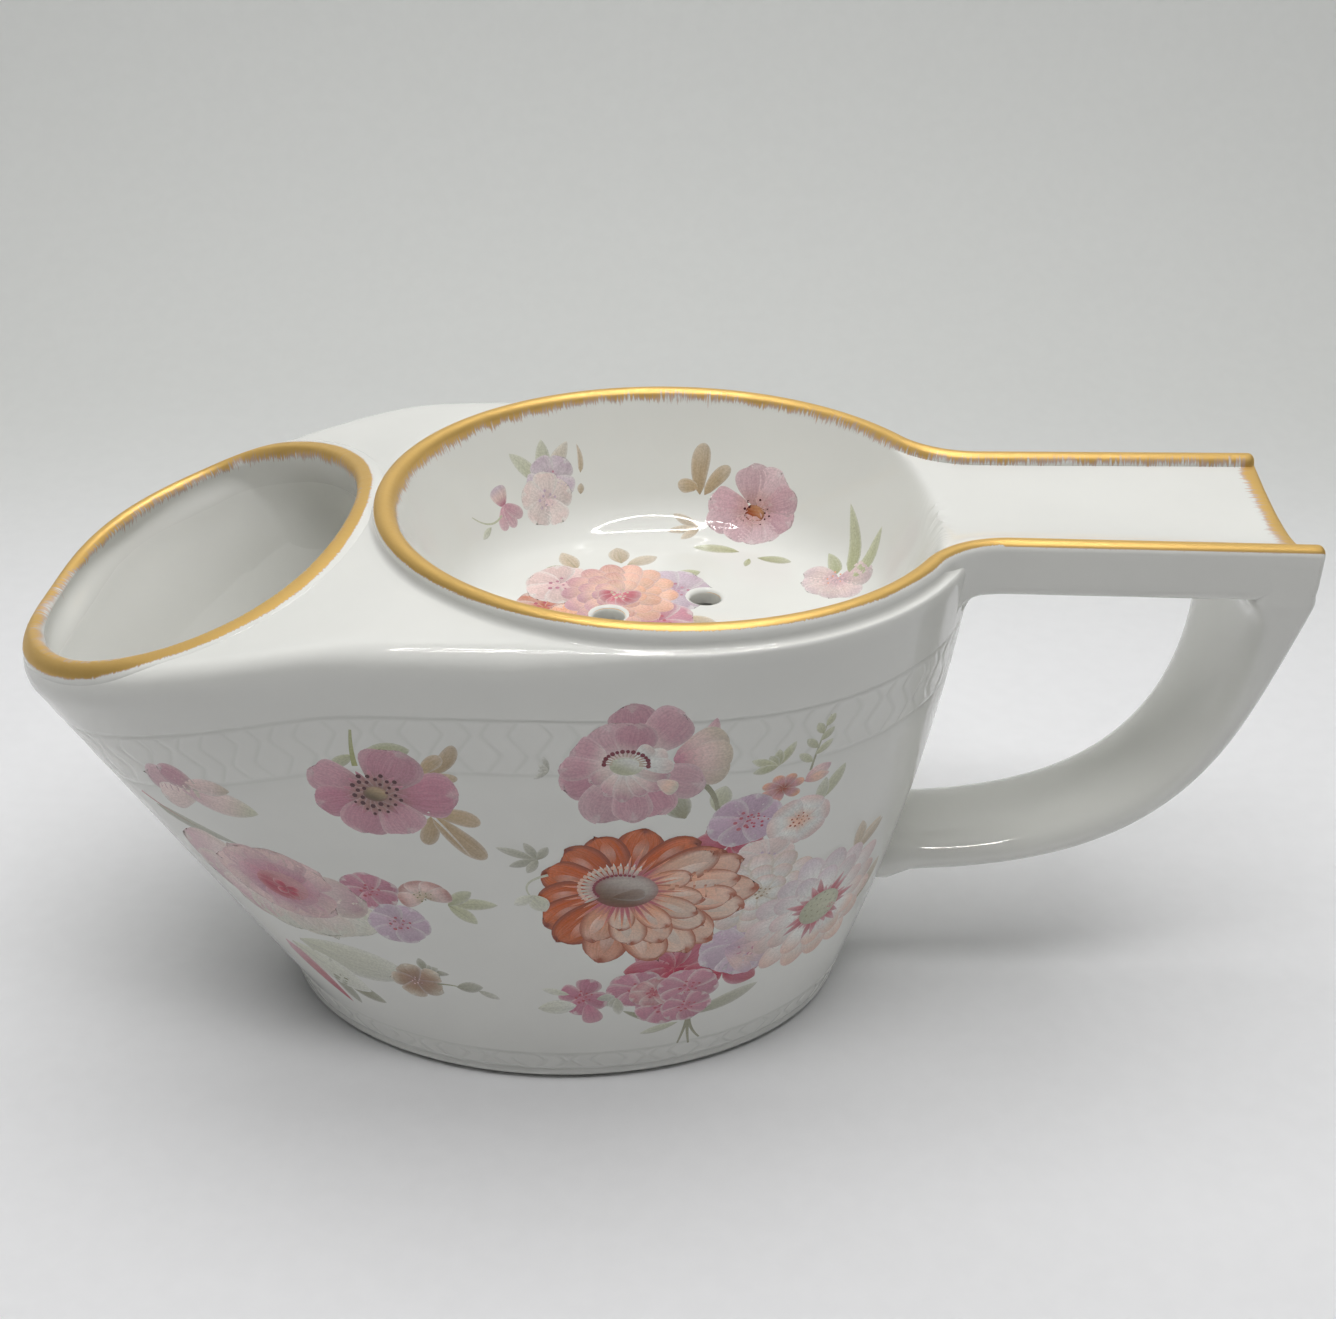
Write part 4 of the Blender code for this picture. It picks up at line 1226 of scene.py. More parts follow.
class Ink:
    """One printed sheet: petals, leaves, stems and dots, each a layer above the last, in millimetres."""

    def __init__(self):
        self.bm = bmesh.new()
        self.colours = self.bm.verts.layers.float_color.new("print_colour")
        self.grain = self.bm.verts.layers.float_vector.new("print_grain")
        self.count = self.base = 0

    def fresh(self):
        """Starts again from the glaze, for flowers that lie clear of the ones before."""
        self.base = self.count

    def use(self, patch, turn=0.0, high=1.0):
        """Draws on a patch from here on, turned and stretched."""
        self.patch, self.turn, self.high = patch, math.radians(turn), high

    def on_wall(self, angle, height, **fit):
        self.use(wall_patch(angle, height), **fit)

    def in_bowl(self, angle, length, **fit):
        self.use(bowl_patch(angle, length), **fit)

    def lay(self, verts, across, upward, colours, grain):
        cos, sin = math.cos(self.turn), math.sin(self.turn)
        across, upward = across * MM, upward * self.high * MM
        lift = sizes().print_lift + (self.count - self.base) * INK_STEP
        points = self.patch(across * cos - upward * sin, across * sin + upward * cos, lift)
        for vertex, point, shade, fibre in zip(verts, points, colours, grain):
            vertex.co = point
            vertex[self.colours] = (*shade, 1.0)
            vertex[self.grain] = fibre
        self.count += 1 if len(verts) > DOT_CORNERS else DOT_STEP

    def sheet(self, columns, rows):
        verts = bmesh.ops.create_grid(self.bm, x_segments=columns, y_segments=rows, size=0.5)["verts"]
        shares = np.array([vertex.co[:2] for vertex in verts]) + 0.5
        return verts, 2 * shares[:, 0] - 1, shares[:, 1]

    def petal(
        self, at, aim, length, width, tones, outline="round", curve=0.0, ruffle=0.0, edge=None, rim=0.2, notch=0.0,
        soft=0.25, line=0.55,
    ):
        """A petal or leaf: root, middle and tip colours, an edge colour of a given strength, light from above."""
        verts, side, share = self.sheet(*PETAL_GRID)
        side = np.sign(side) * (1 - (1 - np.abs(side)) ** EDGE_CROWDING)
        phase = self.count * GOLDEN_TURN
        along = np.sin(share * math.pi / 2)
        root, tip, blunt = OUTLINES[outline]
        half = np.maximum(along**root * np.maximum(1 - along**tip, 0.0) ** blunt, 0.0)
        half = width / 2 * (half / half.max() + 0.06 * (1 - along))
        half = half * (1 + ruffle * np.sin(6 * along + phase))
        wave = ruffle * np.cos(4.5 * side + phase) - notch * np.exp(-((side / 0.3) ** 2))
        reach = length * along * (1 + wave * along**3)
        middle = math.radians(aim) + math.radians(curve) * along / 2
        heading = math.radians(aim) + math.radians(curve) * along
        across = at[0] + reach * np.cos(middle) - half * side * np.sin(heading)
        upward = at[1] + reach * np.sin(middle) + half * side * np.cos(heading)
        lit = side * (LIGHT_RIGHT * np.sin(heading) + LIGHT_UP * np.cos(heading)) * LIGHT_ACROSS
        lit += (along - 0.55) * (LIGHT_UP * np.sin(heading) - LIGHT_RIGHT * np.cos(heading)) * LIGHT_ALONG
        border = np.maximum(ease(np.abs(side), line, 1.0), ease(along, 0.93, 1.0))
        faded = np.maximum(ease(np.abs(side), 0.86, 1.0), ease(along, 0.96, 1.0))
        first, second, third = tones
        shade = mix(first, second, ease(along, 0.02, 0.55)[:, None])
        shade = mix(shade, third, ease(along, 0.5, 1.0)[:, None])
        shade = shade * (1 + lit + TONE_CHANGE * math.sin(phase))[:, None]
        shade = mix(shade, glaze() if edge is None else edge, (rim * border)[:, None])
        shade = mix(shade, glaze(), (soft * faded)[:, None])
        fibre = np.stack([along * length, side * width, np.full_like(side, phase)], axis=-1)
        self.lay(verts, across, upward, np.clip(shade, 0.0, 1.0), fibre)

    def fan(self, at, rows, tones, outline="round", width=None, **style):
        """Petals from one root: a direction, a length and, where they have their own, a width and a curve."""
        for aim, length, *own in rows:
            petal_width, *curve = own or [width]
            self.petal(at, aim, length, petal_width, tones, outline, *curve, **style)

    def wheel(self, at, aims, length, width, tones, outline="round", **style):
        """Equal petals from one root."""
        for aim in aims:
            self.petal(at, aim, length, width, tones, outline, **style)

    def petals(self, ink, rows, deep, pale=0.05, notch=0.12):
        """Broad petals, each given as its root (right, up), direction, length and width."""
        for index, (right, up, aim, length, width) in enumerate(rows):
            tint = pale + TONE_CHANGE * (index % 3)
            tones = (deep, ink(tint), ink(tint + 0.05))
            self.petal((right, up), aim, length, width, tones, ruffle=0.06, rim=0.12, notch=notch, soft=0.15)

    def leaf(self, at, aim, length, width, ink, pale=0.0, curve=0.0, outline="leaf"):
        """A leaf with its middle vein."""
        self.petal(at, aim, length, width, shades(ink, pale, pale + 0.1, pale + 0.25), outline, curve, rim=0.35)
        reach = 0.86 * length
        middle = toward(math.radians(aim), reach / 2, at)
        end = toward(math.radians(aim + curve / 2), reach, at)
        self.stem(at, middle, end, 0.09 * width, mix(ink(pale), olive(pale), 0.55), ink(pale + 0.15))

    def leaves(self, at, rows, ink, pale, outline="leaf"):
        """Leaves from one root, each given as its direction, length, width and, if any, curve."""
        for aim, length, width, *curve in rows:
            self.leaf(at, aim, length, width, ink, pale, *curve or [0.0], outline)

    def tuft(self, at, aim, spread, count, length, width, ink, pale):
        """A fan of fine leaves."""
        for index in range(count):
            lean = aim + spread * (index / max(count - 1, 1) - 0.5)
            reach = length * (0.75 + 0.25 * math.cos(index * 1.9))
            self.petal(at, lean, reach, width, shades(ink, pale, pale, pale + 0.3), "leaf", rim=0.5)

    def blossom(self, at, radius, ink, heart, pale, petals, start):
        """A small open flower."""
        tones = (mix(ink(), heart(0.2), 0.3), ink(pale), ink(pale * 0.6))
        aims = (start + index * 360 / petals for index in range(petals))
        self.wheel(at, aims, radius, radius, tones, ruffle=0.06, rim=0.4, notch=0.1)
        self.dots(at, 9, 0.08 * radius, 0.38 * radius, 0.055 * radius, heart(0.1))

    def stem(self, start, middle, end, width, first, last):
        verts, side, share = self.sheet(*STEM_GRID)
        a, b, c = (np.array(point, float) for point in (start, middle, end))
        line = bend(a, b, c, share[:, None])
        slope = 2 * (1 - share)[:, None] * (b - a) + 2 * share[:, None] * (c - b)
        slope /= np.maximum(np.linalg.norm(slope, axis=1, keepdims=True), TINY)
        half = width / 2 * (1 - 0.55 * share) * side
        shade = mix(first, last, share[:, None])
        fibre = np.stack([share * 9, side, np.full_like(side, self.count)], axis=-1)
        self.lay(verts, line[:, 0] - slope[:, 1] * half, line[:, 1] + slope[:, 0] * half, shade, fibre)

    def dot(self, at, size, shade):
        verts = bmesh.ops.create_circle(self.bm, cap_ends=True, radius=size, segments=DOT_CORNERS)["verts"]
        flat = np.array([vertex.co[:2] for vertex in verts])
        shades_round = np.repeat(np.asarray(shade)[None, :], len(verts), axis=0)
        fibre = np.full((len(verts), 3), self.count * 1.0)
        self.lay(verts, at[0] + flat[:, 0], at[1] + flat[:, 1], shades_round, fibre)

    def dots(self, at, count, near, far, size, shade):
        """Dots spread evenly over a ring."""
        for index in range(count):
            turn = index * GOLDEN_TURN + 0.7 * at[0]
            reach = math.sqrt(mix(near**2, far**2, (index + 0.5) / count))
            self.dot(toward(turn, reach, at), size * (0.75 + 0.5 * ((index * 7) % 5) / 4), shade)

    def dome(self, at, wide, high, dark, light, edge):
        """A rounded heart, lit from the upper right."""
        verts, side, share = self.sheet(*DOME_GRID)
        right, up = share * np.cos(math.pi * side), share * np.sin(math.pi * side)
        shade = mix(dark, light, ease(0.55 * right + 0.8 * up, -0.75, 0.85)[:, None])
        shade = mix(shade, edge, 0.6 * ease(share, 0.7, 1.0)[:, None])
        fibre = np.stack([3 * right, 3 * up, np.full_like(side, self.count)], axis=-1)
        self.lay(verts, at[0] + wide * right, at[1] + high * up, shade, fibre)

    def trim(self, holes, reach):
        """Takes the print away over round holes."""
        for hole in holes:
            near = {vertex for vertex in self.bm.verts if (vertex.co.xy - hole).length < reach}
            covering = [face for face in self.bm.faces if all(vertex in near for vertex in face.verts)]
            bmesh.ops.delete(self.bm, geom=covering, context="FACES")
            for vertex in self.bm.verts:
                away = vertex.co.xy - hole
                if 0 < away.length < reach:
                    vertex.co.xy = hole + away * (reach / away.length)

    def finish(self, name):
        bmesh.ops.recalc_face_normals(self.bm, faces=self.bm.faces)
        piece = as_object(name, self.bm, material_of("printed_glaze", dress_printed))
        piece.visible_shadow = piece.visible_diffuse = False
        seat(piece)


class SCUTTLE_OT_front_flowers(bpy.types.Operator):
    """Printed flowers on the front of the wall"""

    bl_idname = "scuttle.front_flowers"
    bl_label = "Front flowers"

    def execute(self, context):
        ink = Ink()
        self.spout_flowers(ink)
        self.rose(ink)
        self.anemone(ink)
        self.little_cluster(ink)
        self.poppy(ink)
        self.bouquet_top(ink)
        self.bouquet_middle(ink)
        self.dahlia_petals(ink)
        self.dahlia_heart(ink)
        self.zinnia(ink)
        self.bouquet_foot(ink)
        self.stray_leaves(ink)
        ink.finish("front_flowers")
        return {"FINISHED"}

    def spout_flowers(self, ink):
        ink.on_wall(-151.4, 54.2)
        for aim, length, width, shade in (
            (172, 9.0, 6.0, mauve(0.35)), (205, 8.0, 5.2, blush(0.2)), (150, 6.5, 4.4, mauve(0.2)),
        ):
            ink.petal((0.6, 0.2), aim, length, width, (tan(0.5), shade, shade), ruffle=0.06)
        ink.petal((-2.5, -0.4), -12, 11.0, 4.8, (mauve(0.4), blush(0.2), leaf(0.5)), "leaf")
        ink.petal((-1.5, 1.4), -2, 6.5, 3.2, (blush(), blush(0.2), tan(0.4)), "leaf")
        ink.on_wall(-156.0, 46.2)
        ink.leaf((-4.0, 2.0), -24, 13.0, 2.2, olive, 0.35, 10, "blade")
        ink.stem((-6, 4.0), (-2, 1.5), (2.5, -0.5), 0.5, rose(0.3), olive(0.3))
        ink.on_wall(-147.6, 13.8)
        ink.leaf((-3.0, 3.5), -40, 8.2, 3.0, olive, 0.15, 20)
        ink.leaf((-4.5, 3.5), -62, 7.6, 2.4, olive, 0.3)
        ink.on_wall(-145.4, 21.6)
        ink.leaf((-9.5, 2.2), -14, 18.5, 7.4, leaf, 0.55, 14)
        ink.leaf((-12.0, 0.5), -34, 15.0, 6.0, leaf, 0.6, 10)
        ink.on_wall(-155.6, 14.8)
        ink.petal((-1.5, 7.5), -62, 15.0, 2.8, (mauve(0.3), rose(0.2), rose(0.1)), "blade", 8)

    def rose(self, ink):
        ink.on_wall(-149.4, 36.6, turn=-16, high=0.74)
        for rows, tip in (
            (((175, 16.5, 13), (205, 15.5, 12), (240, 14.0, 12)), mauve(0.35)),
            (((275, 13.5, 12), (312, 14.0, 12), (345, 14.5, 12)), leaf(0.75)),
            (((20, 12.5, 11),), mauve(0.35)),
        ):
            ink.fan((0, 0), rows, (blush(0.2), blush(0.35), tip), ruffle=0.05, edge=tan(0.45), rim=0.45)
        rows = ((60, 9.5), (100, 9.8), (140, 10.4), (180, 10.2), (220, 9.4), (260, 8.6), (300, 8.6), (340, 9.0))
        tones = (rose(0.4), mauve(0.35), blush())
        ink.fan((0, 0.6), rows, tones, width=9.0, ruffle=0.06, edge=mauve(0.1), rim=0.4)
        rows = ((30, 6.2), (80, 6.4), (130, 6.6), (180, 6.8), (230, 6.2), (280, 5.8), (330, 6.0))
        ink.fan((0, 0.8), rows, (rose(), mauve(0.1), mauve(0.3)), width=6.0, edge=rose(0.25), rim=0.35)
        ink.dome((0.4, 0.6), 4.0, 4.0, mix(rose(), STAMEN, 0.1), rose(0.35), rose(0.35))
        rows = ((140, 2.6), (320, 3.0), (20, 2.4), (250, 2.2))
        ink.fan((1.0, 0.2), rows, (mix(rose(), STAMEN, 0.3), rose(), rose(0.3)), "leaf", width=1.8, soft=0.0)

    def anemone(self, ink):
        ink.fresh()
        ink.on_wall(-134.3, 65.2)
        ink.leaf((0.2, -1.5), 28, 7.2, 3.6, leaf, 0.15, -18)
        ink.leaf((-0.6, -0.6), 215, 4.2, 1.8, leaf, 0.25)
        ink.stem((-0.5, -2.5), (-0.8, 0.5), (-0.4, 3.8), 0.8, leaf(), leaf(0.2))
        ink.on_wall(-125.6, 63.6)
        rows = ((15, 6.8, 2.3, 70), (62, 4.2, 2.2, -30), (-18, 4.8, 1.7, 25))
        ink.fan((-2.2, -1.6), rows, shades(tan, 0, 0.05, 0.2), "long")
        ink.on_wall(-125.4, 51.8)
        rows = ((268, 5.6, 2.6, -25), (15, 6.4, 2.8, -55), (-52, 10.2, 3.2, 8))
        ink.fan((-2.6, 3.0), rows, shades(tan, 0, 0.05, 0.15), "long")
        ink.stem((-3.2, 3.6), (-1.0, 1.2), (2.2, -4.4), 0.45, glaze(), tan(0.3))
        ink.on_wall(-133.9, 57.9, high=1.05)
        deep = mix(mauve(), olive(), 0.5)
        rows = (
            (1.4, 0.0, 4, 9.4, 7.4), (0.8, 0.6, 66, 7.4, 8.4), (-0.8, 0.4, 158, 8.0, 6.2), (-0.8, -0.3, 196, 7.4, 5.2),
            (-0.2, -0.6, 250, 6.8, 7.2), (1.2, -0.6, 300, 6.4, 6.6),
        )
        ink.petals(mauve, rows, mix(deep, STAMEN, 0.3), notch=0.08)
        tones = (mix(deep, STAMEN, 0.5), deep, mauve(0.05))
        ink.wheel((0.2, 0), range(0, 360, 24), 4.4, 1.4, tones, "blade", soft=0.0)
        ink.dome((0.3, 0.1), 1.7, 1.3, mix(olive(), STAMEN, 0.6), tan(), mix(deep, STAMEN, 0.4))
        ink.dots((0.3, 0.1), 30, 1.5, 3.6, 0.3, STAMEN)

    def little_cluster(self, ink):
        ink.fresh()
        ink.on_wall(-126.3, 38.2)
        ink.leaves((-2.2, -0.4), ((12, 7.0, 2.2, -14), (-34, 5.2, 2.2, -14), (48, 4.6, 2.2, -14)), leaf, 0.25)
        ink.on_wall(-131.9, 39.6, high=0.85)
        ink.wheel((0.4, -0.8), (150, 110, 65, 20, 200), 4.0, 3.6, (tan(0.2), blush(), mix(mauve(), tan(), 0.5)))
        ink.dots((0.3, -0.6), 10, 0.2, 1.4, 0.13, olive())
        ink.on_wall(-138.6, 39.0, high=0.85)
        ink.blossom((0, 0), 4.3, mauve, rose, 0.1, 6, 30)
        ink.on_wall(-136.3, 32.8, high=0.85)
        ink.leaf((-2.5, 0.5), 190, 4.4, 3.0, leaf, 0.5)
        ink.blossom((0, 0), 4.7, lilac, rose, 0.15, 6, 0)
        ink.dots((0, 0), 14, 0.6, 1.7, 0.14, mix(STAMEN, glaze(), 0.35))
        ink.on_wall(-136.9, 20.6, high=0.85)
        brown = mix(mauve(), olive(), 0.6)
        ink.tuft((1.5, 3.0), 50, 100, 4, 3.6, 1.5, olive, 0.35)
        ink.wheel((0, 0), range(40, 400, 72), 4.2, 3.9, (brown, mix(brown, tan(), 0.4), tan(0.35)), ruffle=0.08)
        ink.dots((0, 0), 8, 0.1, 1.0, 0.13, blush())
        ink.on_wall(-129.6, 20.2)
        ink.stem((-4.2, 0.4), (-2, 0.8), (0.0, 0.2), 0.35, olive(0.2), leaf(0.3))
        ink.leaf((-1.2, 0.3), 8, 4.0, 2.3, olive, 0.35)
        ink.leaf((2.0, 0.0), -26, 3.4, 1.2, olive, 0.5)

    def poppy(self, ink):
        ink.fresh()
        ink.on_wall(-84.2, 56.6)
        ink.leaf((-2.0, -1.6), 118, 5.6, 4.0, olive, 0.2)
        ink.leaf((2.0, -0.5), 75, 4.5, 3.0, leaf, 0.35)
        ink.stem((-1.2, 5.5), (2.6, 3.2), (2.4, -3.0), 1.0, olive(0.15), olive(0.3))
        ink.on_wall(-85.4, 65.4)
        ink.petal((0.0, 1.2), 52, 6.0, 2.0, (blush(), blush(), mauve(0.3)), "leaf", 30)
        rows = ((30, 7.8, 5.0), (-22, 7.8, 5.0), (4, 7.8, 5.2))
        ink.fan((-3.0, 0.0), rows, (mauve(0.1), blush(), tan(0.4)), edge=tan(0.3))
        ink.on_wall(-97.8, 64.6, high=1.1)
        rows = (
            (1.6, 2.2, 98, 6.6, 6.0), (2.4, 2.0, 48, 7.8, 6.4), (-0.2, 0.6, 112, 5.6, 6.6), (0.6, 0.6, 78, 5.6, 5.6),
            (-2.2, 0.6, 164, 4.8, 5.6), (2.0, -0.8, 342, 8.6, 5.2), (-1.4, -0.8, 206, 7.6, 5.6),
            (-2.0, -0.4, 184, 6.4, 3.8), (-0.8, -1.2, 250, 8.4, 6.4), (1.0, -1.2, 302, 8.0, 6.2),
            (0.2, -1.2, 278, 7.8, 5.2),
        )
        ink.petals(mauve, rows, blush(0.4), 0.16)
        rows = ((205, 5.2, 2.6), (235, 5.0, 2.6), (265, 5.2, 2.8), (298, 5.0, 2.6), (325, 5.6, 2.6), (350, 5.6, 2.8))
        ink.fan((0.2, -0.6), rows, (glaze(), blush(0.2), mauve(0.25)), ruffle=0.05)
        ink.fan((1.2, 0.2), ((20, 4.6), (-6, 5.2), (48, 3.4)), (glaze(), glaze(), blush(0.3)), width=2.4, rim=0.5)
        ink.petal((4.2, -2.6), 330, 3.0, 2.4, (blush(0.2), peach(0.5), tan(0.5)))
        ink.dome((0.2, -0.3), 2.2, 1.4, mix(leaf(0.4), olive(), 0.2), glaze(), leaf(0.5))
        stamen = mix(STAMEN, rose(), 0.3)
        for index in range(15):
            turn = math.radians(-12 + index * 14)
            spot = (0.2 + 2.9 * math.cos(turn), 0.1 + 1.9 * math.sin(turn))
            ink.stem((spot[0] * 0.6, spot[1] * 0.6), spot, spot, 0.22, tan(0.3), stamen)
            ink.dot(spot, 0.34 - 0.06 * (index % 2), stamen)

    def bouquet_top(self, ink):
        """Leaves and small flowers behind the upper part of the bouquet."""
        ink.on_wall(-68.4, 63.6)
        ink.tuft((-1.4, -1.0), 125, 130, 5, 4.4, 1.5, leaf, 0.3)
        ink.on_wall(-62.6, 65.0)
        ink.stem((-0.6, -4.5), (0.0, 0.0), (1.2, 4.6), 0.4, olive(0.3), leaf(0.4))
        for level, (aim, length) in enumerate(((140, 3.0), (40, 3.2), (135, 2.8), (45, 2.6), (120, 2.4), (60, 2.2))):
            ink.leaf((-0.5 + level * 0.25, -3.0 + level * 1.15), aim, length, 1.3, leaf, 0.3)
        ink.on_wall(-58.0, 56.5)
        ink.leaf((-1.0, -2.0), 62, 6.2, 2.2, leaf, 0.3)
        ink.leaf((-1.5, -3.0), 85, 5.0, 2.0, leaf, 0.4)
        ink.on_wall(-67.6, 58.4, high=0.8)
        tones = (mix(orange(), STAMEN, 0.45), rose(0.35), peach(0.2))
        ink.wheel((-0.8, 0), (20, 65, 110, 155, 200, 250, 320), 3.3, 1.9, tones, "long")
        ink.petal((2.5, 1.0), 30, 4.4, 2.8, (rose(0.4), blush(), mauve(0.4)), "leaf")
        ink.petal((2.3, 0.6), 8, 4.0, 2.2, (rose(0.4), peach(0.4), blush()), "leaf")
        ink.on_wall(-78.0, 50.5)
        ink.wheel((0, -1.0), (20, 70, 120, 170, 300, 345), 5.4, 4.4, self.crimson(), "leaf")
        ink.on_wall(-75.4, 53.6, high=0.9)
        ink.blossom((0, 0), 5.2, lilac, rose, 0.0, 6, 15)
        ink.dots((1.6, -0.4), 12, 0.3, 1.8, 0.2, rose())
        ink.on_wall(-63.8, 51.6, high=0.9)
        ink.wheel((0, 0), range(10, 370, 60), 5.0, 4.8, (peach(0.3), glaze(), blush(0.1)), edge=lilac(0.2))
        ink.dots((0, 0), 14, 0.2, 1.6, 0.16, mix(orange(), STAMEN, 0.4))
        ink.on_wall(-70.4, 45.6, high=0.9)
        ink.blossom((0, 0), 4.6, blush, lilac, 0.3, 6, 0)

    def crimson(self):
        return rose(), mix(rose(), lilac(), 0.25), rose(0.1)

    def bouquet_middle(self, ink):
        """Crimson, lilac and cream flowers behind the dahlia and the zinnia."""
        ink.on_wall(-88.0, 25.0)
        ink.wheel((0, 0), (10, 50, 95, 140, 180, 220, 265, 320), 7.5, 5.2, self.crimson(), "leaf")
        ink.on_wall(-76.0, 22.5)
        ink.wheel((0, 0), (0, 45, 100, 160, 210, 330), 6.5, 4.4, self.crimson(), "leaf")
        ink.on_wall(-72.0, 27.5, high=0.85)
        ink.blossom((1.0, 0), 7.4, lilac, mauve, 0.15, 7, 0)
        tones = (lilac(), blush(), lilac(0.2))
        ink.wheel((-2.5, 0.5), (-62, -40, -20, 0, 18), 9.5, 2.6, tones, "long", edge=rose(0.3))
        ink.on_wall(-69.5, 38.6, high=0.92)
        for ring, (count, reach) in enumerate(((11, 9.0), (9, 6.4), (7, 4.0))):
            aims = (17 * ring + index * 360 / count for index in range(count))
            tones = (tan(0.5), glaze(), blush(0.2))
            ink.wheel((0, 0), aims, reach, 4.0 - 0.4 * ring, tones, edge=tan(0.2), rim=0.5)
        ink.dots((0, 0), 9, 0.2, 1.3, 0.2, mix(tan(), STAMEN, 0.3))

    def dahlia_petals(self, ink):
        """Three rings of striped petals round an off-centre heart, warm on the left and pale on the right."""
        ink.on_wall(-98.8, 42.0)
        middle, half_wide, half_high = np.array((3.3, -2.0)), 16.0, 12.6
        for ring, (count, reach, width) in enumerate(((16, 1.0, 6.4), (13, 0.80, 5.4), (11, 0.58, 4.0))):
            turns = [math.tau * (index + 0.45 * ring) / count for index in range(count)]
            for index in sorted(range(count), key=lambda index: -math.sin(turns[index])):
                turn = turns[index]
                if ring and -0.4 * ring < math.cos(turn - 2.3) - 0.6:
                    continue
                tip = middle + np.array((half_wide * math.cos(turn), half_high * math.sin(turn)))
                tip = tip * reach * (1 + 0.07 * math.sin(5.3 * index + 2 * ring))
                warm = float(ease(-math.cos(turn) + 0.8 * math.sin(turn) + 0.35 - 0.55 * ring, -0.7, 0.6))
                self.dahlia_petal(ink, tip, width, warm, index)

    def dahlia_petal(self, ink, tip, width, warm, index):
        """A petal with a dark edge and a pale stripe along its middle."""
        rust = mix(orange(), STAMEN, 0.30)
        cream = mix(peach(0.15), tan(0.45), 0.35 * (index % 2))
        body = mix(cream, orange(), warm)
        end = mix(mix(cream, glaze(), 0.35), mix(orange(), peach(), 0.15), warm)
        root = mix(mix(rose(0.1), peach(), 0.3), rust, warm)
        edge = mix(mix(orange(), STAMEN, 0.35), mix(rust, STAMEN, 0.6), warm)
        start, aim = tip * 0.15, math.degrees(math.atan2(tip[1], tip[0]))
        length, curve = float(np.linalg.norm(tip - start)), 14 * math.sin(index * 1.7)
        style = {"edge": edge, "rim": 0.9, "ruffle": 0.04, "curve": curve, "soft": 0.0, "line": 0.7}
        ink.petal(start, aim, length, width, (root, body, end), "long", **style)
        stripe = (body, mix(end, glaze(), 0.25), end)
        ink.petal(start + (tip - start) * 0.35, aim, length * 0.52, width * 0.3, stripe, "leaf", rim=0.0, soft=0.0)

    def dahlia_heart(self, ink):
        tones = (rose(), rose(0.1), peach())
        rows = ((165 + index * 9.5, 7.6 + 1.3 * math.sin(index * 2.3)) for index in range(30))
        ink.fan((0, 0), rows, tones, "blade", width=0.6, soft=0.0)
        shadow = mix(mix(olive(), orange(), 0.25), STAMEN, 0.6)
        grey = mix(leaf(), lilac(), 0.55)
        ink.dome((0.3, -0.2), 4.6, 3.3, shadow, mix(grey, glaze(), 0.3), mix(shadow, rose(), 0.3))
        ink.petal((-1.4, -1.4), 8, 4.6, 2.4, (shadow, mix(shadow, grey, 0.25), mix(shadow, grey, 0.6)), soft=0.0)
        for index in range(17):
            aim = 62 + index * 9.5
            turn = math.radians(aim)
            spot = np.array((5.6 * math.cos(turn) - 0.4, 3.9 * math.sin(turn) + 0.5))
            ink.petal(spot * 0.62, aim, 2.6, 0.5, (rose(0.3), tan(0.5), glaze()), "blade")
            ink.dot(spot, 0.34, peach(0.4))
            ink.dot(spot * 0.66, 0.26, mix(STAMEN, rose(), 0.4))

    def zinnia(self, ink):
        ink.on_wall(-43.8, 42.5)
        ink.leaves((-1.0, -2.5), ((62, 6.5, 2.4, -30), (85, 6.5, 2.4, 20), (40, 6.5, 2.4)), tan, 0.15)
        ink.on_wall(-35.8, 28.5)
        ink.leaf((0.0, -2.0), 70, 8.0, 3.2, tan, 0.2)
        ink.on_wall(-52.0, 31.0, turn=-8)
        for ring, (count, reach, width) in enumerate(((15, 12.5, 5.0), (12, 9.4, 4.2))):
            for index in range(count):
                aim = 11 * ring + index * 360 / count
                length = reach * (1 + 0.06 * math.sin(4 * index))
                body = mix(peach(0.45), lilac(0.45), 0.5 + 0.5 * math.cos(math.radians(aim - 120)))
                edge = mix(rose(0.4), body, 0.4)
                ink.petal((0, 0), aim, length, width, (rose(0.25), glaze(), body), "long", edge=edge, rim=0.4)
        rows = ((index * 360 / 26, 5.6 + 1.6 * math.sin(index * 1.7)) for index in range(26))
        ink.fan((0, 0), rows, shades(rose, 0, 0.1, 0.45), "blade", width=1.5)
        green = mix(leaf(), glaze(), 0.45)
        ink.dome((0, 0), 3.7, 3.5, mix(green, olive(), 0.3), green, olive(0.3))
        ink.dots((0, 0), 22, 0.4, 3.2, 0.2, olive(0.25))

    def bouquet_foot(self, ink):
        """Small blossoms and stems at the foot of the bouquet."""
        ink.on_wall(-85.0, 11.5)
        ink.leaf((1.0, 2.6), 15, 11.0, 3.0, olive, 0.3, 12)
        ink.leaf((-1.0, 2.0), 172, 9.5, 1.8, olive, 0.05, -24, "blade")
        ink.leaf((-1.0, 1.0), 196, 6.0, 1.6, leaf, 0.45)
        for end in ((-0.6, -4.5), (1.2, -5.0), (2.8, -4.0)):
            ink.stem((0.6, 3.5), (0.4, -0.5), end, 0.7, olive(0.2), olive(0.3))
        for angle, height, radius, hue, pale in (
            (-96.4, 21.2, 4.4, mauve, 0.12), (-90.4, 16.8, 4.4, mauve, 0.12), (-92.6, 20.2, 3.6, rose, 0.45),
            (-84.4, 20.6, 4.6, mauve, 0.12), (-84.8, 16.2, 3.8, mauve, 0.12),
        ):
            ink.on_wall(angle, height, high=0.9)
            ink.blossom((0, 0), radius, hue, rose, pale, 6, angle * 3)

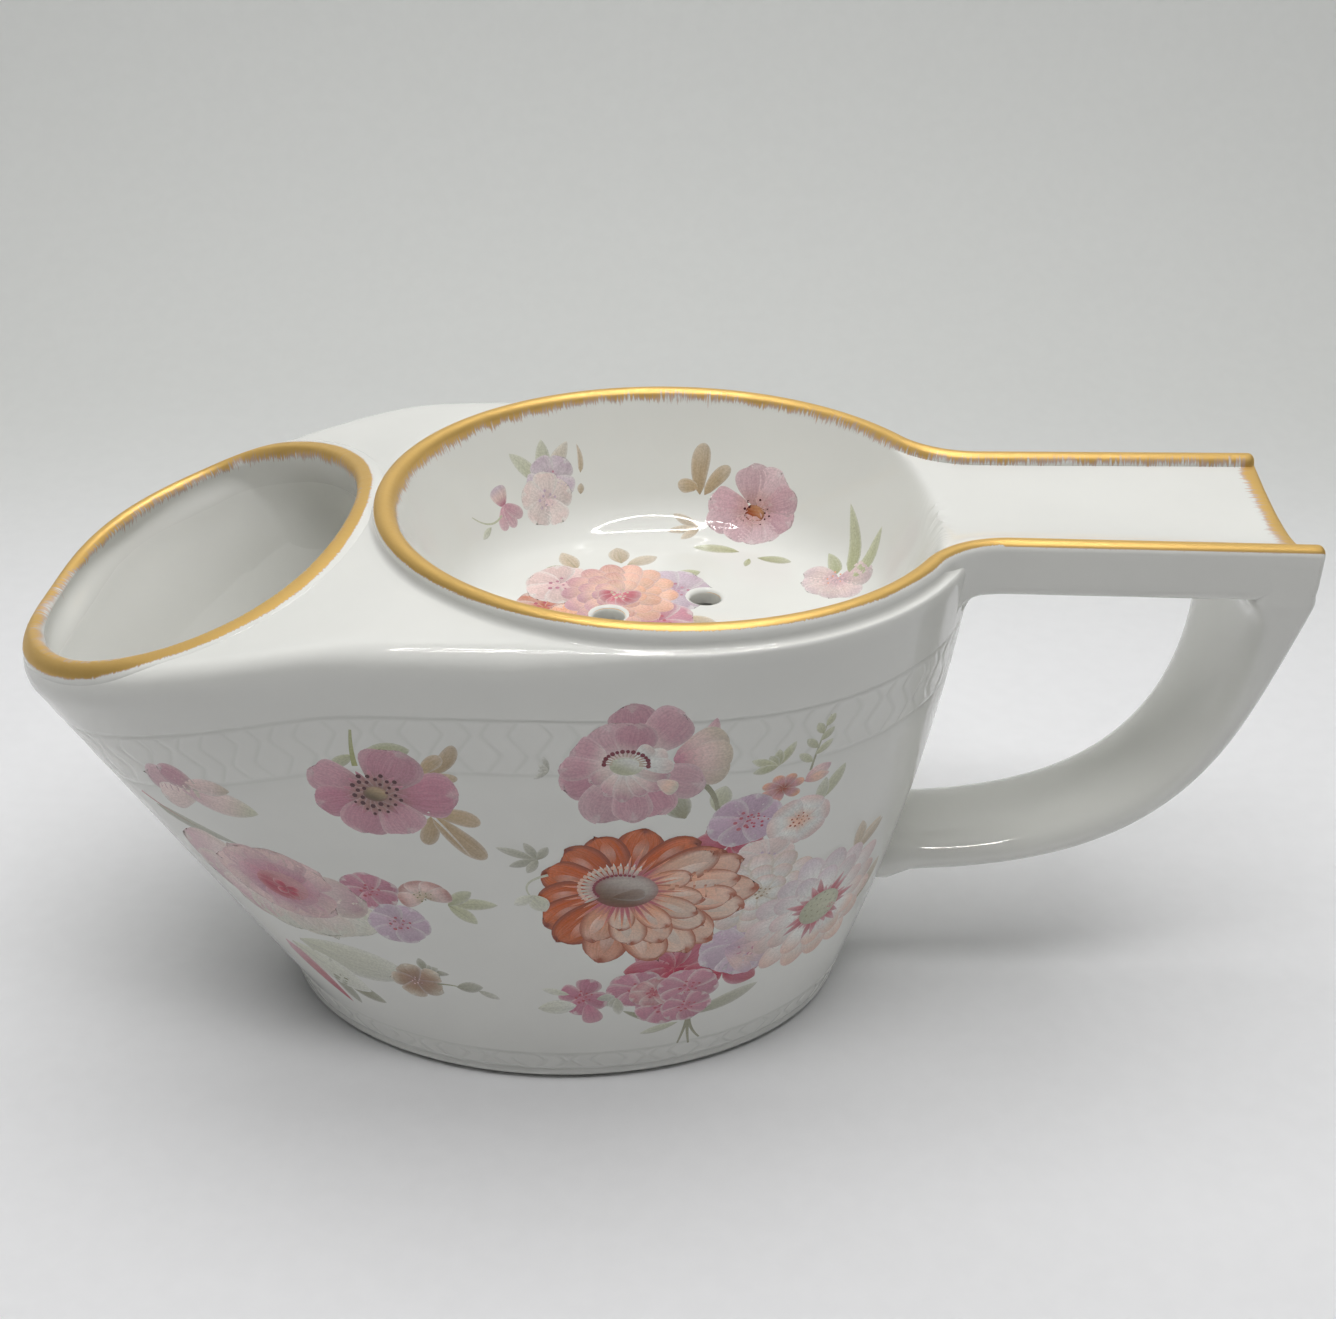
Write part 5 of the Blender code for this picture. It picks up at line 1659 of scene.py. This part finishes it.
    def stray_leaves(self, ink):
        """What is strewn between the big flowers."""
        ink.on_wall(-101.0, 19.5)
        ink.tuft((0, 0), 230, 90, 4, 4.0, 1.6, olive, 0.45)
        ink.on_wall(-108.2, 19.0, high=1.1)
        ink.blossom((0, 1.0), 3.6, mauve, rose, 0.05, 4, 70)
        ink.petal((0.6, -0.5), 285, 4.0, 3.0, shades(mauve, 0, 0.1, 0.2))
        ink.leaf((2.0, 0.5), 10, 2.6, 1.4, olive, 0.5)
        ink.leaf((-2.0, 1.5), 165, 4.2, 1.2, leaf, 0.6)
        ink.on_wall(-114.5, 47.8)
        rows = ((160, 6.0, 1.4), (120, 3.6, 1.4), (200, 4.2, 1.4), (60, 2.8, 1.4), (240, 3.0, 1.4))
        ink.leaves((1.0, 0.0), rows, olive, 0.35)
        ink.on_wall(-114.0, 41.5)
        ink.stem((1.5, 3.5), (-3.0, 2.0), (-0.8, -1.0), 0.45, leaf(0.6), leaf(0.6))
        ink.leaf((-0.8, -0.5), 300, 3.6, 2.8, leaf, 0.5)
        ink.leaf((-0.6, -0.6), 215, 3.4, 1.8, leaf, 0.6)
        ink.on_wall(-114.5, 17.5)
        ink.leaf((-2.0, 0.0), 8, 5.6, 3.0, leaf, 0.65)
        ink.on_wall(-110.0, 63.6)
        ink.tuft((0, 0), 160, 110, 4, 2.6, 0.8, olive, 0.6)


class SCUTTLE_OT_bowl_flowers(bpy.types.Operator):
    """Printed flowers inside the soap bowl"""

    bl_idname = "scuttle.bowl_flowers"
    bl_label = "Bowl flowers"

    def execute(self, context):
        ink = Ink()
        self.lilac_sprig(ink)
        self.poppy(ink)
        self.handle_side_flower(ink)
        self.bouquet(ink)
        holes = [Vector(toward(turn, DRAIN_RING, (BOWL_X, 0.0))) for turn in DRAIN_TURNS]
        ink.trim(holes, sizes().drain_diameter / 2 + DRAIN_ROUND + 0.05 * MM)
        ink.finish("bowl_flowers")
        return {"FINISHED"}

    def lilac_sprig(self, ink):
        ink.in_bowl(125.0, 39.0)
        for aim, length, width, hue in (
            (128, 8.5, 2.4, leaf), (84, 7.6, 2.6, leaf), (52, 8.2, 2.6, tan), (-80, 6.8, 2.4, leaf),
        ):
            ink.leaf((0, 1.0), aim, length, width, hue, 0.4)
        ink.leaf((6.5, 2.0), 75, 4.8, 0.9, tan, 0.2, 30, "blade")
        ink.leaf((6.0, -1.5), 80, 1.8, 1.2, tan, 0.2)
        ink.blossom((1.0, 1.6), 4.4, lilac, mauve, 0.45, 5, 40)
        ink.blossom((-0.4, -1.2), 4.6, blush, lilac, 0.45, 5, 10)
        ink.in_bowl(139.4, 38.4)
        ink.petal((0, 0.5), 100, 3.6, 3.4, (mauve(), blush(), lilac(0.3)))
        ink.wheel((0, 0.8), (250, 285, 320), 4.2, 2.2, shades(mauve, 0.2, 0.3, 0.45), "long")
        ink.stem((-1.0, -0.6), (-4.0, -2.4), (-7.5, 1.4), 0.4, leaf(0.4), leaf(0.5))
        ink.leaf((-4.0, -1.6), 200, 3.0, 1.2, leaf, 0.5)
        ink.in_bowl(-172.0, 33.0)
        ink.blossom((0, 0), 4.0, blush, mauve, 0.1, 5, 0)
        ink.blossom((-4.5, -1.5), 3.2, peach, mauve, 0.45, 5, 30)

    def poppy(self, ink):
        ink.fresh()
        ink.in_bowl(81.5, 38.5)
        for at, aim, length, width, curve in (
            ((0.0, -2.0), 100, 8.6, 3.0, -24), ((0.8, -2.0), 62, 6.4, 2.4, -18), ((-0.4, -1.0), 158, 3.4, 2.4, 40),
        ):
            ink.petal(at, aim, length, width, shades(tan, 0.05, 0.1, 0.3), "long", curve)
        ink.in_bowl(82.5, 30.0)
        ink.leaves((1.0, 0.5), ((150, 5.0, 1.7), (190, 5.4, 1.7), (225, 4.0, 1.7)), tan, 0.25)
        ink.in_bowl(60.5, 25.2)
        ink.leaf((-1.5, 0.8), 186, 7.6, 2.8, leaf, 0.2)
        ink.leaf((2.0, 0.4), 24, 5.4, 2.2, leaf, 0.2)
        ink.leaf((1.0, -0.6), 290, 3.0, 1.2, leaf, 0.2)
        ink.in_bowl(65.0, 35.2)
        rows = (
            (-1.0, 0.0, 176, 6.8, 5.4), (-1.0, -0.6, 206, 7.2, 5.2), (0.4, -0.8, 320, 6.0, 5.2),
            (0.8, 0.0, 352, 6.2, 5.0), (-0.4, 0.6, 100, 6.8, 6.0), (0.4, 0.6, 66, 6.8, 5.6), (0.8, 0.4, 30, 6.4, 5.2),
            (-0.4, -1.0, 244, 5.8, 5.6), (0.2, -1.0, 284, 5.4, 5.2),
        )
        ink.petals(mauve, rows, mix(mauve(0.15), tan(), 0.4), 0.32)
        ink.dome((0.1, -0.6), 1.7, 1.7, mix(orange(), STAMEN, 0.5), mix(tan(), orange(), 0.4), STAMEN)
        ink.dots((0.3, -0.5), 16, 1.5, 2.5, 0.22, STAMEN)

    def handle_side_flower(self, ink):
        ink.fresh()
        ink.in_bowl(26.5, 29.4, turn=40)
        ink.leaf((2.0, 1.0), 78, 11.5, 2.4, leaf, 0.2, 8, "blade")
        ink.leaf((3.0, 0.0), 48, 9.5, 2.2, leaf, 0.2, 8, "blade")
        ink.leaf((0.0, 1.0), 110, 5.0, 2.2, leaf, 0.2, 8, "blade")
        tones = (mauve(0.35), blush(0.2), mauve(0.6))
        ink.wheel((0.5, 0.0), (170, 205, 240, 280, 315, 10), 6.0, 4.6, tones, ruffle=0.05)
        ink.dots((0, 0), 10, 0.3, 1.8, 0.2, peach())

    def bouquet(self, ink):
        ink.fresh()
        ink.use(floor_patch(-7.7, 7.7), high=1.15)
        for at, aim, length, width, hue in (
            ((-7.0, 7.5), 120, 5.5, 3.0, tan), ((0.0, 9.5), 100, 5.0, 3.4, tan), ((1.0, 9.0), 30, 5.5, 2.8, tan),
            ((9.5, -6.5), -20, 6.0, 3.4, tan), ((-8.0, 7.0), 170, 4.0, 2.4, leaf), ((8.0, 5.5), 20, 5.0, 2.6, leaf),
        ):
            ink.leaf(at, aim, length, width, hue, 0.15)
        ink.blossom((-11.5, -4.0), 4.8, orange, rose, 0.35, 6, 10)
        ink.blossom((-9.5, 2.8), 5.4, blush, mauve, 0.05, 6, 40)
        ink.blossom((8.5, 1.5), 5.8, lilac, mauve, 0.3, 6, 0)
        ink.blossom((6.0, -7.5), 5.6, mauve, rose, 0.15, 6, 25)
        ink.blossom((-6.5, -8.0), 5.2, peach, orange, 0.2, 6, 0)
        for ring, (count, reach, width) in enumerate(((14, 9.2, 4.2), (12, 6.8, 3.6), (9, 4.4, 3.0))):
            for index in range(count):
                aim = 13 * ring + index * 360 / count
                body = mix(peach(0.2), mauve(0.25), 0.5 + 0.5 * math.cos(math.radians(aim - 200)))
                tones = (rose(0.35), peach(0.4), body)
                ink.petal((0, 0), aim, reach, width, tones, "long", edge=rose(0.4), rim=0.4)
        ink.wheel((0, 0), (180, 215, 250, 285, 320, 355), 3.4, 2.6, shades(rose, 0, 0.1, 0.35))
        ink.dots((0, 0), 12, 0.2, 1.5, 0.25, tan(0.2))


# Stage

TABLE_FRONT, TABLE_BACK = -1.2, 0.17
TABLE_HALF_LENGTH = 1.6
SWEEP_RADIUS, SWEEP_TURN = 0.16, 1.45
BACKDROP_TOP, BACKDROP_SLANT = 1.2, 0.1
BACKDROP_FROM, BACKDROP_TO = 0.08, 0.24

# Lamps: place, aim, size and power
LAMPS = {
    "top_panel": ((0.0, 0.10, 0.75), (0.0, 0.10, 0.0), (0.9, 0.4), 2.95),
    "front_panel": ((0.0, -0.22, 0.66), (0.0, 0.0, 0.02), (0.5, 0.16), 1.7),
    "left_wall": ((-0.9, -0.1, 0.5), (0.0, 0.0, 0.05), (0.9, 0.9), 0.6),
    "right_wall": ((0.9, -0.1, 0.5), (0.0, 0.0, 0.05), (0.9, 0.9), 0.45),
}

# Strength of the world's light: on surfaces, in mirrors, and added where the camera sees it
WORLD_COLOUR = (0.80, 0.81, 0.80, 1.0)
WORLD_ON_SURFACES, WORLD_IN_MIRRORS, WORLD_SEEN = 0.005, 0.12, 0.62

# Ovals of lamp beads: middle, half length, half width and radius of a bead
BEAD_OVALS = ((-0.097, 0.0, 0.034, 0.045, 1.2 * MM), (0.044, 0.02, 0.095, 0.15, 3.0 * MM))
BEADS, BEAD_HEIGHT, BEAD_STRETCH = 64, 0.5, 4.0
BEAD_COLOUR, BEAD_STRENGTH = (1.0, 0.98, 0.95, 1.0), 60.0

# Camera, fitted to the photo's perspective
CAMERA_TURN, CAMERA_DIP, CAMERA_ROLL = (math.radians(angle) for angle in (-0.6, 29.608, 1.058))
CAMERA_AIM = Vector((BOWL_X - 0.11 * MM, 0.0, 55.9 * MM))
CAMERA_DISTANCE = 261.07 * MM
SENSOR_WIDTH = 36.0
FOCAL_PIXELS, PICTURE_PIXELS = 1700, 1336


def dress_paper(nodes):
    """Pale paper, in the table's colour in front and the backdrop's behind."""
    place = nodes.place()
    back = nodes.ramp(nodes.add("SeparateXYZ", {"Vector": place})["Y"], BACKDROP_FROM, BACKDROP_TO, 0.0, 1.0)
    paper = nodes.blend(back, opaque("floor"), opaque("backdrop"))
    fibre = nodes.ramp(nodes.noise(place, 260.0, 4.0), 0.3, 0.7, 0.985, 1.0)
    nodes.end(Base_Color=nodes.graded(paper, Value=fibre), Roughness=0.75, Specular_IOR_Level=0.2)


def dress_beads(nodes):
    nodes.end(Emission_Color=BEAD_COLOUR, Emission_Strength=BEAD_STRENGTH)


class SCUTTLE_OT_stage(bpy.types.Operator):
    """Pale table and backdrop, soft lamps and the camera"""

    bl_idname = "scuttle.stage"
    bl_label = "Stage"

    def execute(self, context):
        self.backdrop()
        self.lamps(context.scene)
        self.world(context.scene)
        self.bead_lamp()
        self.camera(context.scene)
        context.scene.view_settings.view_transform = "Standard"
        return {"FINISHED"}

    def backdrop(self):
        profile = [(TABLE_FRONT, 0.0), (TABLE_BACK, 0.0)]
        for turn in steps(15, 0, SWEEP_TURN):
            profile.append((TABLE_BACK + SWEEP_RADIUS * math.sin(turn), SWEEP_RADIUS * (1 - math.cos(turn))))
        profile.append((profile[-1][0] + BACKDROP_SLANT, BACKDROP_TOP))
        bm = bmesh.new()
        start = [bm.verts.new((-TABLE_HALF_LENGTH, y, z)) for y, z in profile]
        edges = [bm.edges.new(pair) for pair in zip(start, start[1:])]
        swept = bmesh.ops.extrude_edge_only(bm, edges=edges)["geom"]
        moved = [item for item in swept if isinstance(item, bmesh.types.BMVert)]
        bmesh.ops.translate(bm, verts=moved, vec=(2 * TABLE_HALF_LENGTH, 0.0, 0.0))
        bmesh.ops.recalc_face_normals(bm, faces=bm.faces)
        as_object("table_and_backdrop", bm, material_of("table_paper", dress_paper))

    def lamps(self, scene):
        for name, (place, aim, size, power) in LAMPS.items():
            light = bpy.data.lights.new(name, "AREA")
            light.shape = "RECTANGLE"
            light.size, light.size_y = size
            light.energy = power
            lamp = bpy.data.objects.new(name, light)
            lamp.location = place
            lamp.visible_camera = lamp.visible_glossy = False
            lamp.rotation_euler = (Vector(aim) - Vector(place)).to_track_quat("-Z", "Y").to_euler()
            scene.collection.objects.link(lamp)

    def world(self, scene):
        scene.world = bpy.data.worlds.new("studio")
        nodes = Nodes(scene.world, "Background")
        rays = nodes.add("LightPath")
        mirrored = {"Value": rays["Is Glossy Ray"], "To Min": WORLD_ON_SURFACES, "To Max": WORLD_IN_MIRRORS}
        unseen = nodes.add("MapRange", mirrored)["Result"]
        strength = nodes.math("MULTIPLY_ADD", rays["Is Camera Ray"], WORLD_SEEN, unseen)
        nodes.end(Color=WORLD_COLOUR, Strength=strength)

    def bead_lamp(self):
        """Two ovals of small bright lamps overhead, which the glaze mirrors as dotted rings."""
        bm = bmesh.new()
        facing = Matrix.Rotation(math.pi, 4, "X") @ Matrix.Diagonal((1.0, BEAD_STRETCH, 1.0, 1.0))
        for x, y, half_length, half_width, size in BEAD_OVALS:
            for turn in np.linspace(0, math.tau, BEADS + 1)[:-1]:
                spot = (x + half_length * math.cos(turn), y + half_width * math.sin(turn), BEAD_HEIGHT)
                place = Matrix.Translation(spot) @ facing
                bmesh.ops.create_circle(bm, cap_ends=True, radius=size, segments=8, matrix=place)
        lamp = as_object("bead_lamp", bm, material_of("lamp_beads", dress_beads))
        lamp.visible_camera = lamp.visible_diffuse = False

    def camera(self, scene):
        flat = math.cos(CAMERA_DIP)
        look = Vector((-math.sin(CAMERA_TURN) * flat, math.cos(CAMERA_TURN) * flat, -math.sin(CAMERA_DIP)))
        right = Vector((math.cos(CAMERA_TURN), math.sin(CAMERA_TURN), 0.0))
        up = right.cross(look)
        tilted = math.cos(CAMERA_ROLL) * right + math.sin(CAMERA_ROLL) * up
        upright = -math.sin(CAMERA_ROLL) * right + math.cos(CAMERA_ROLL) * up
        camera = bpy.data.cameras.new("camera")
        camera.sensor_width = SENSOR_WIDTH
        camera.lens = FOCAL_PIXELS * SENSOR_WIDTH / PICTURE_PIXELS
        camera.clip_start = 0.01
        eye = bpy.data.objects.new("camera", camera)
        axes = Matrix((tilted, upright, -look)).transposed().to_4x4()
        eye.matrix_world = Matrix.Translation(CAMERA_AIM - look * CAMERA_DISTANCE) @ axes
        scene.collection.objects.link(eye)
        scene.camera = eye


class SCUTTLE_PT_panel(bpy.types.Panel):
    bl_label = "Shaving Scuttle"
    bl_idname = "SCUTTLE_PT_panel"
    bl_space_type = "VIEW_3D"
    bl_region_type = "UI"
    bl_category = "Scuttle"

    def draw(self, context):
        settings = context.scene.scuttle
        for group in (settings.sizes, settings.colours):
            box = self.layout.box()
            for name in group.bl_rna.properties.keys():
                if name not in ("rna_type", "name"):
                    box.prop(group, name)
        for operator in OPERATORS:
            self.layout.operator(operator.bl_idname)


OPERATORS = (
    SCUTTLE_OT_stage,
    SCUTTLE_OT_foot,
    SCUTTLE_OT_wall,
    SCUTTLE_OT_shoulder,
    SCUTTLE_OT_bowl,
    SCUTTLE_OT_loop,
    SCUTTLE_OT_front_flowers,
    SCUTTLE_OT_bowl_flowers,
)
CLASSES = (ScuttleSizes, ScuttleColours, ScuttleSettings, *OPERATORS, SCUTTLE_PT_panel)


def register():
    for cls in CLASSES:
        bpy.utils.register_class(cls)
    bpy.types.Scene.scuttle = bpy.props.PointerProperty(type=ScuttleSettings)


def unregister():
    del bpy.types.Scene.scuttle
    for cls in reversed(CLASSES):
        bpy.utils.unregister_class(cls)


def main():
    register()
    bpy.ops.scuttle.stage()
    bpy.ops.scuttle.foot()
    bpy.ops.scuttle.wall()
    bpy.ops.scuttle.shoulder()
    bpy.ops.scuttle.bowl()
    bpy.ops.scuttle.loop()
    bpy.ops.scuttle.front_flowers()
    bpy.ops.scuttle.bowl_flowers()


if __name__ == "__main__":
    main()
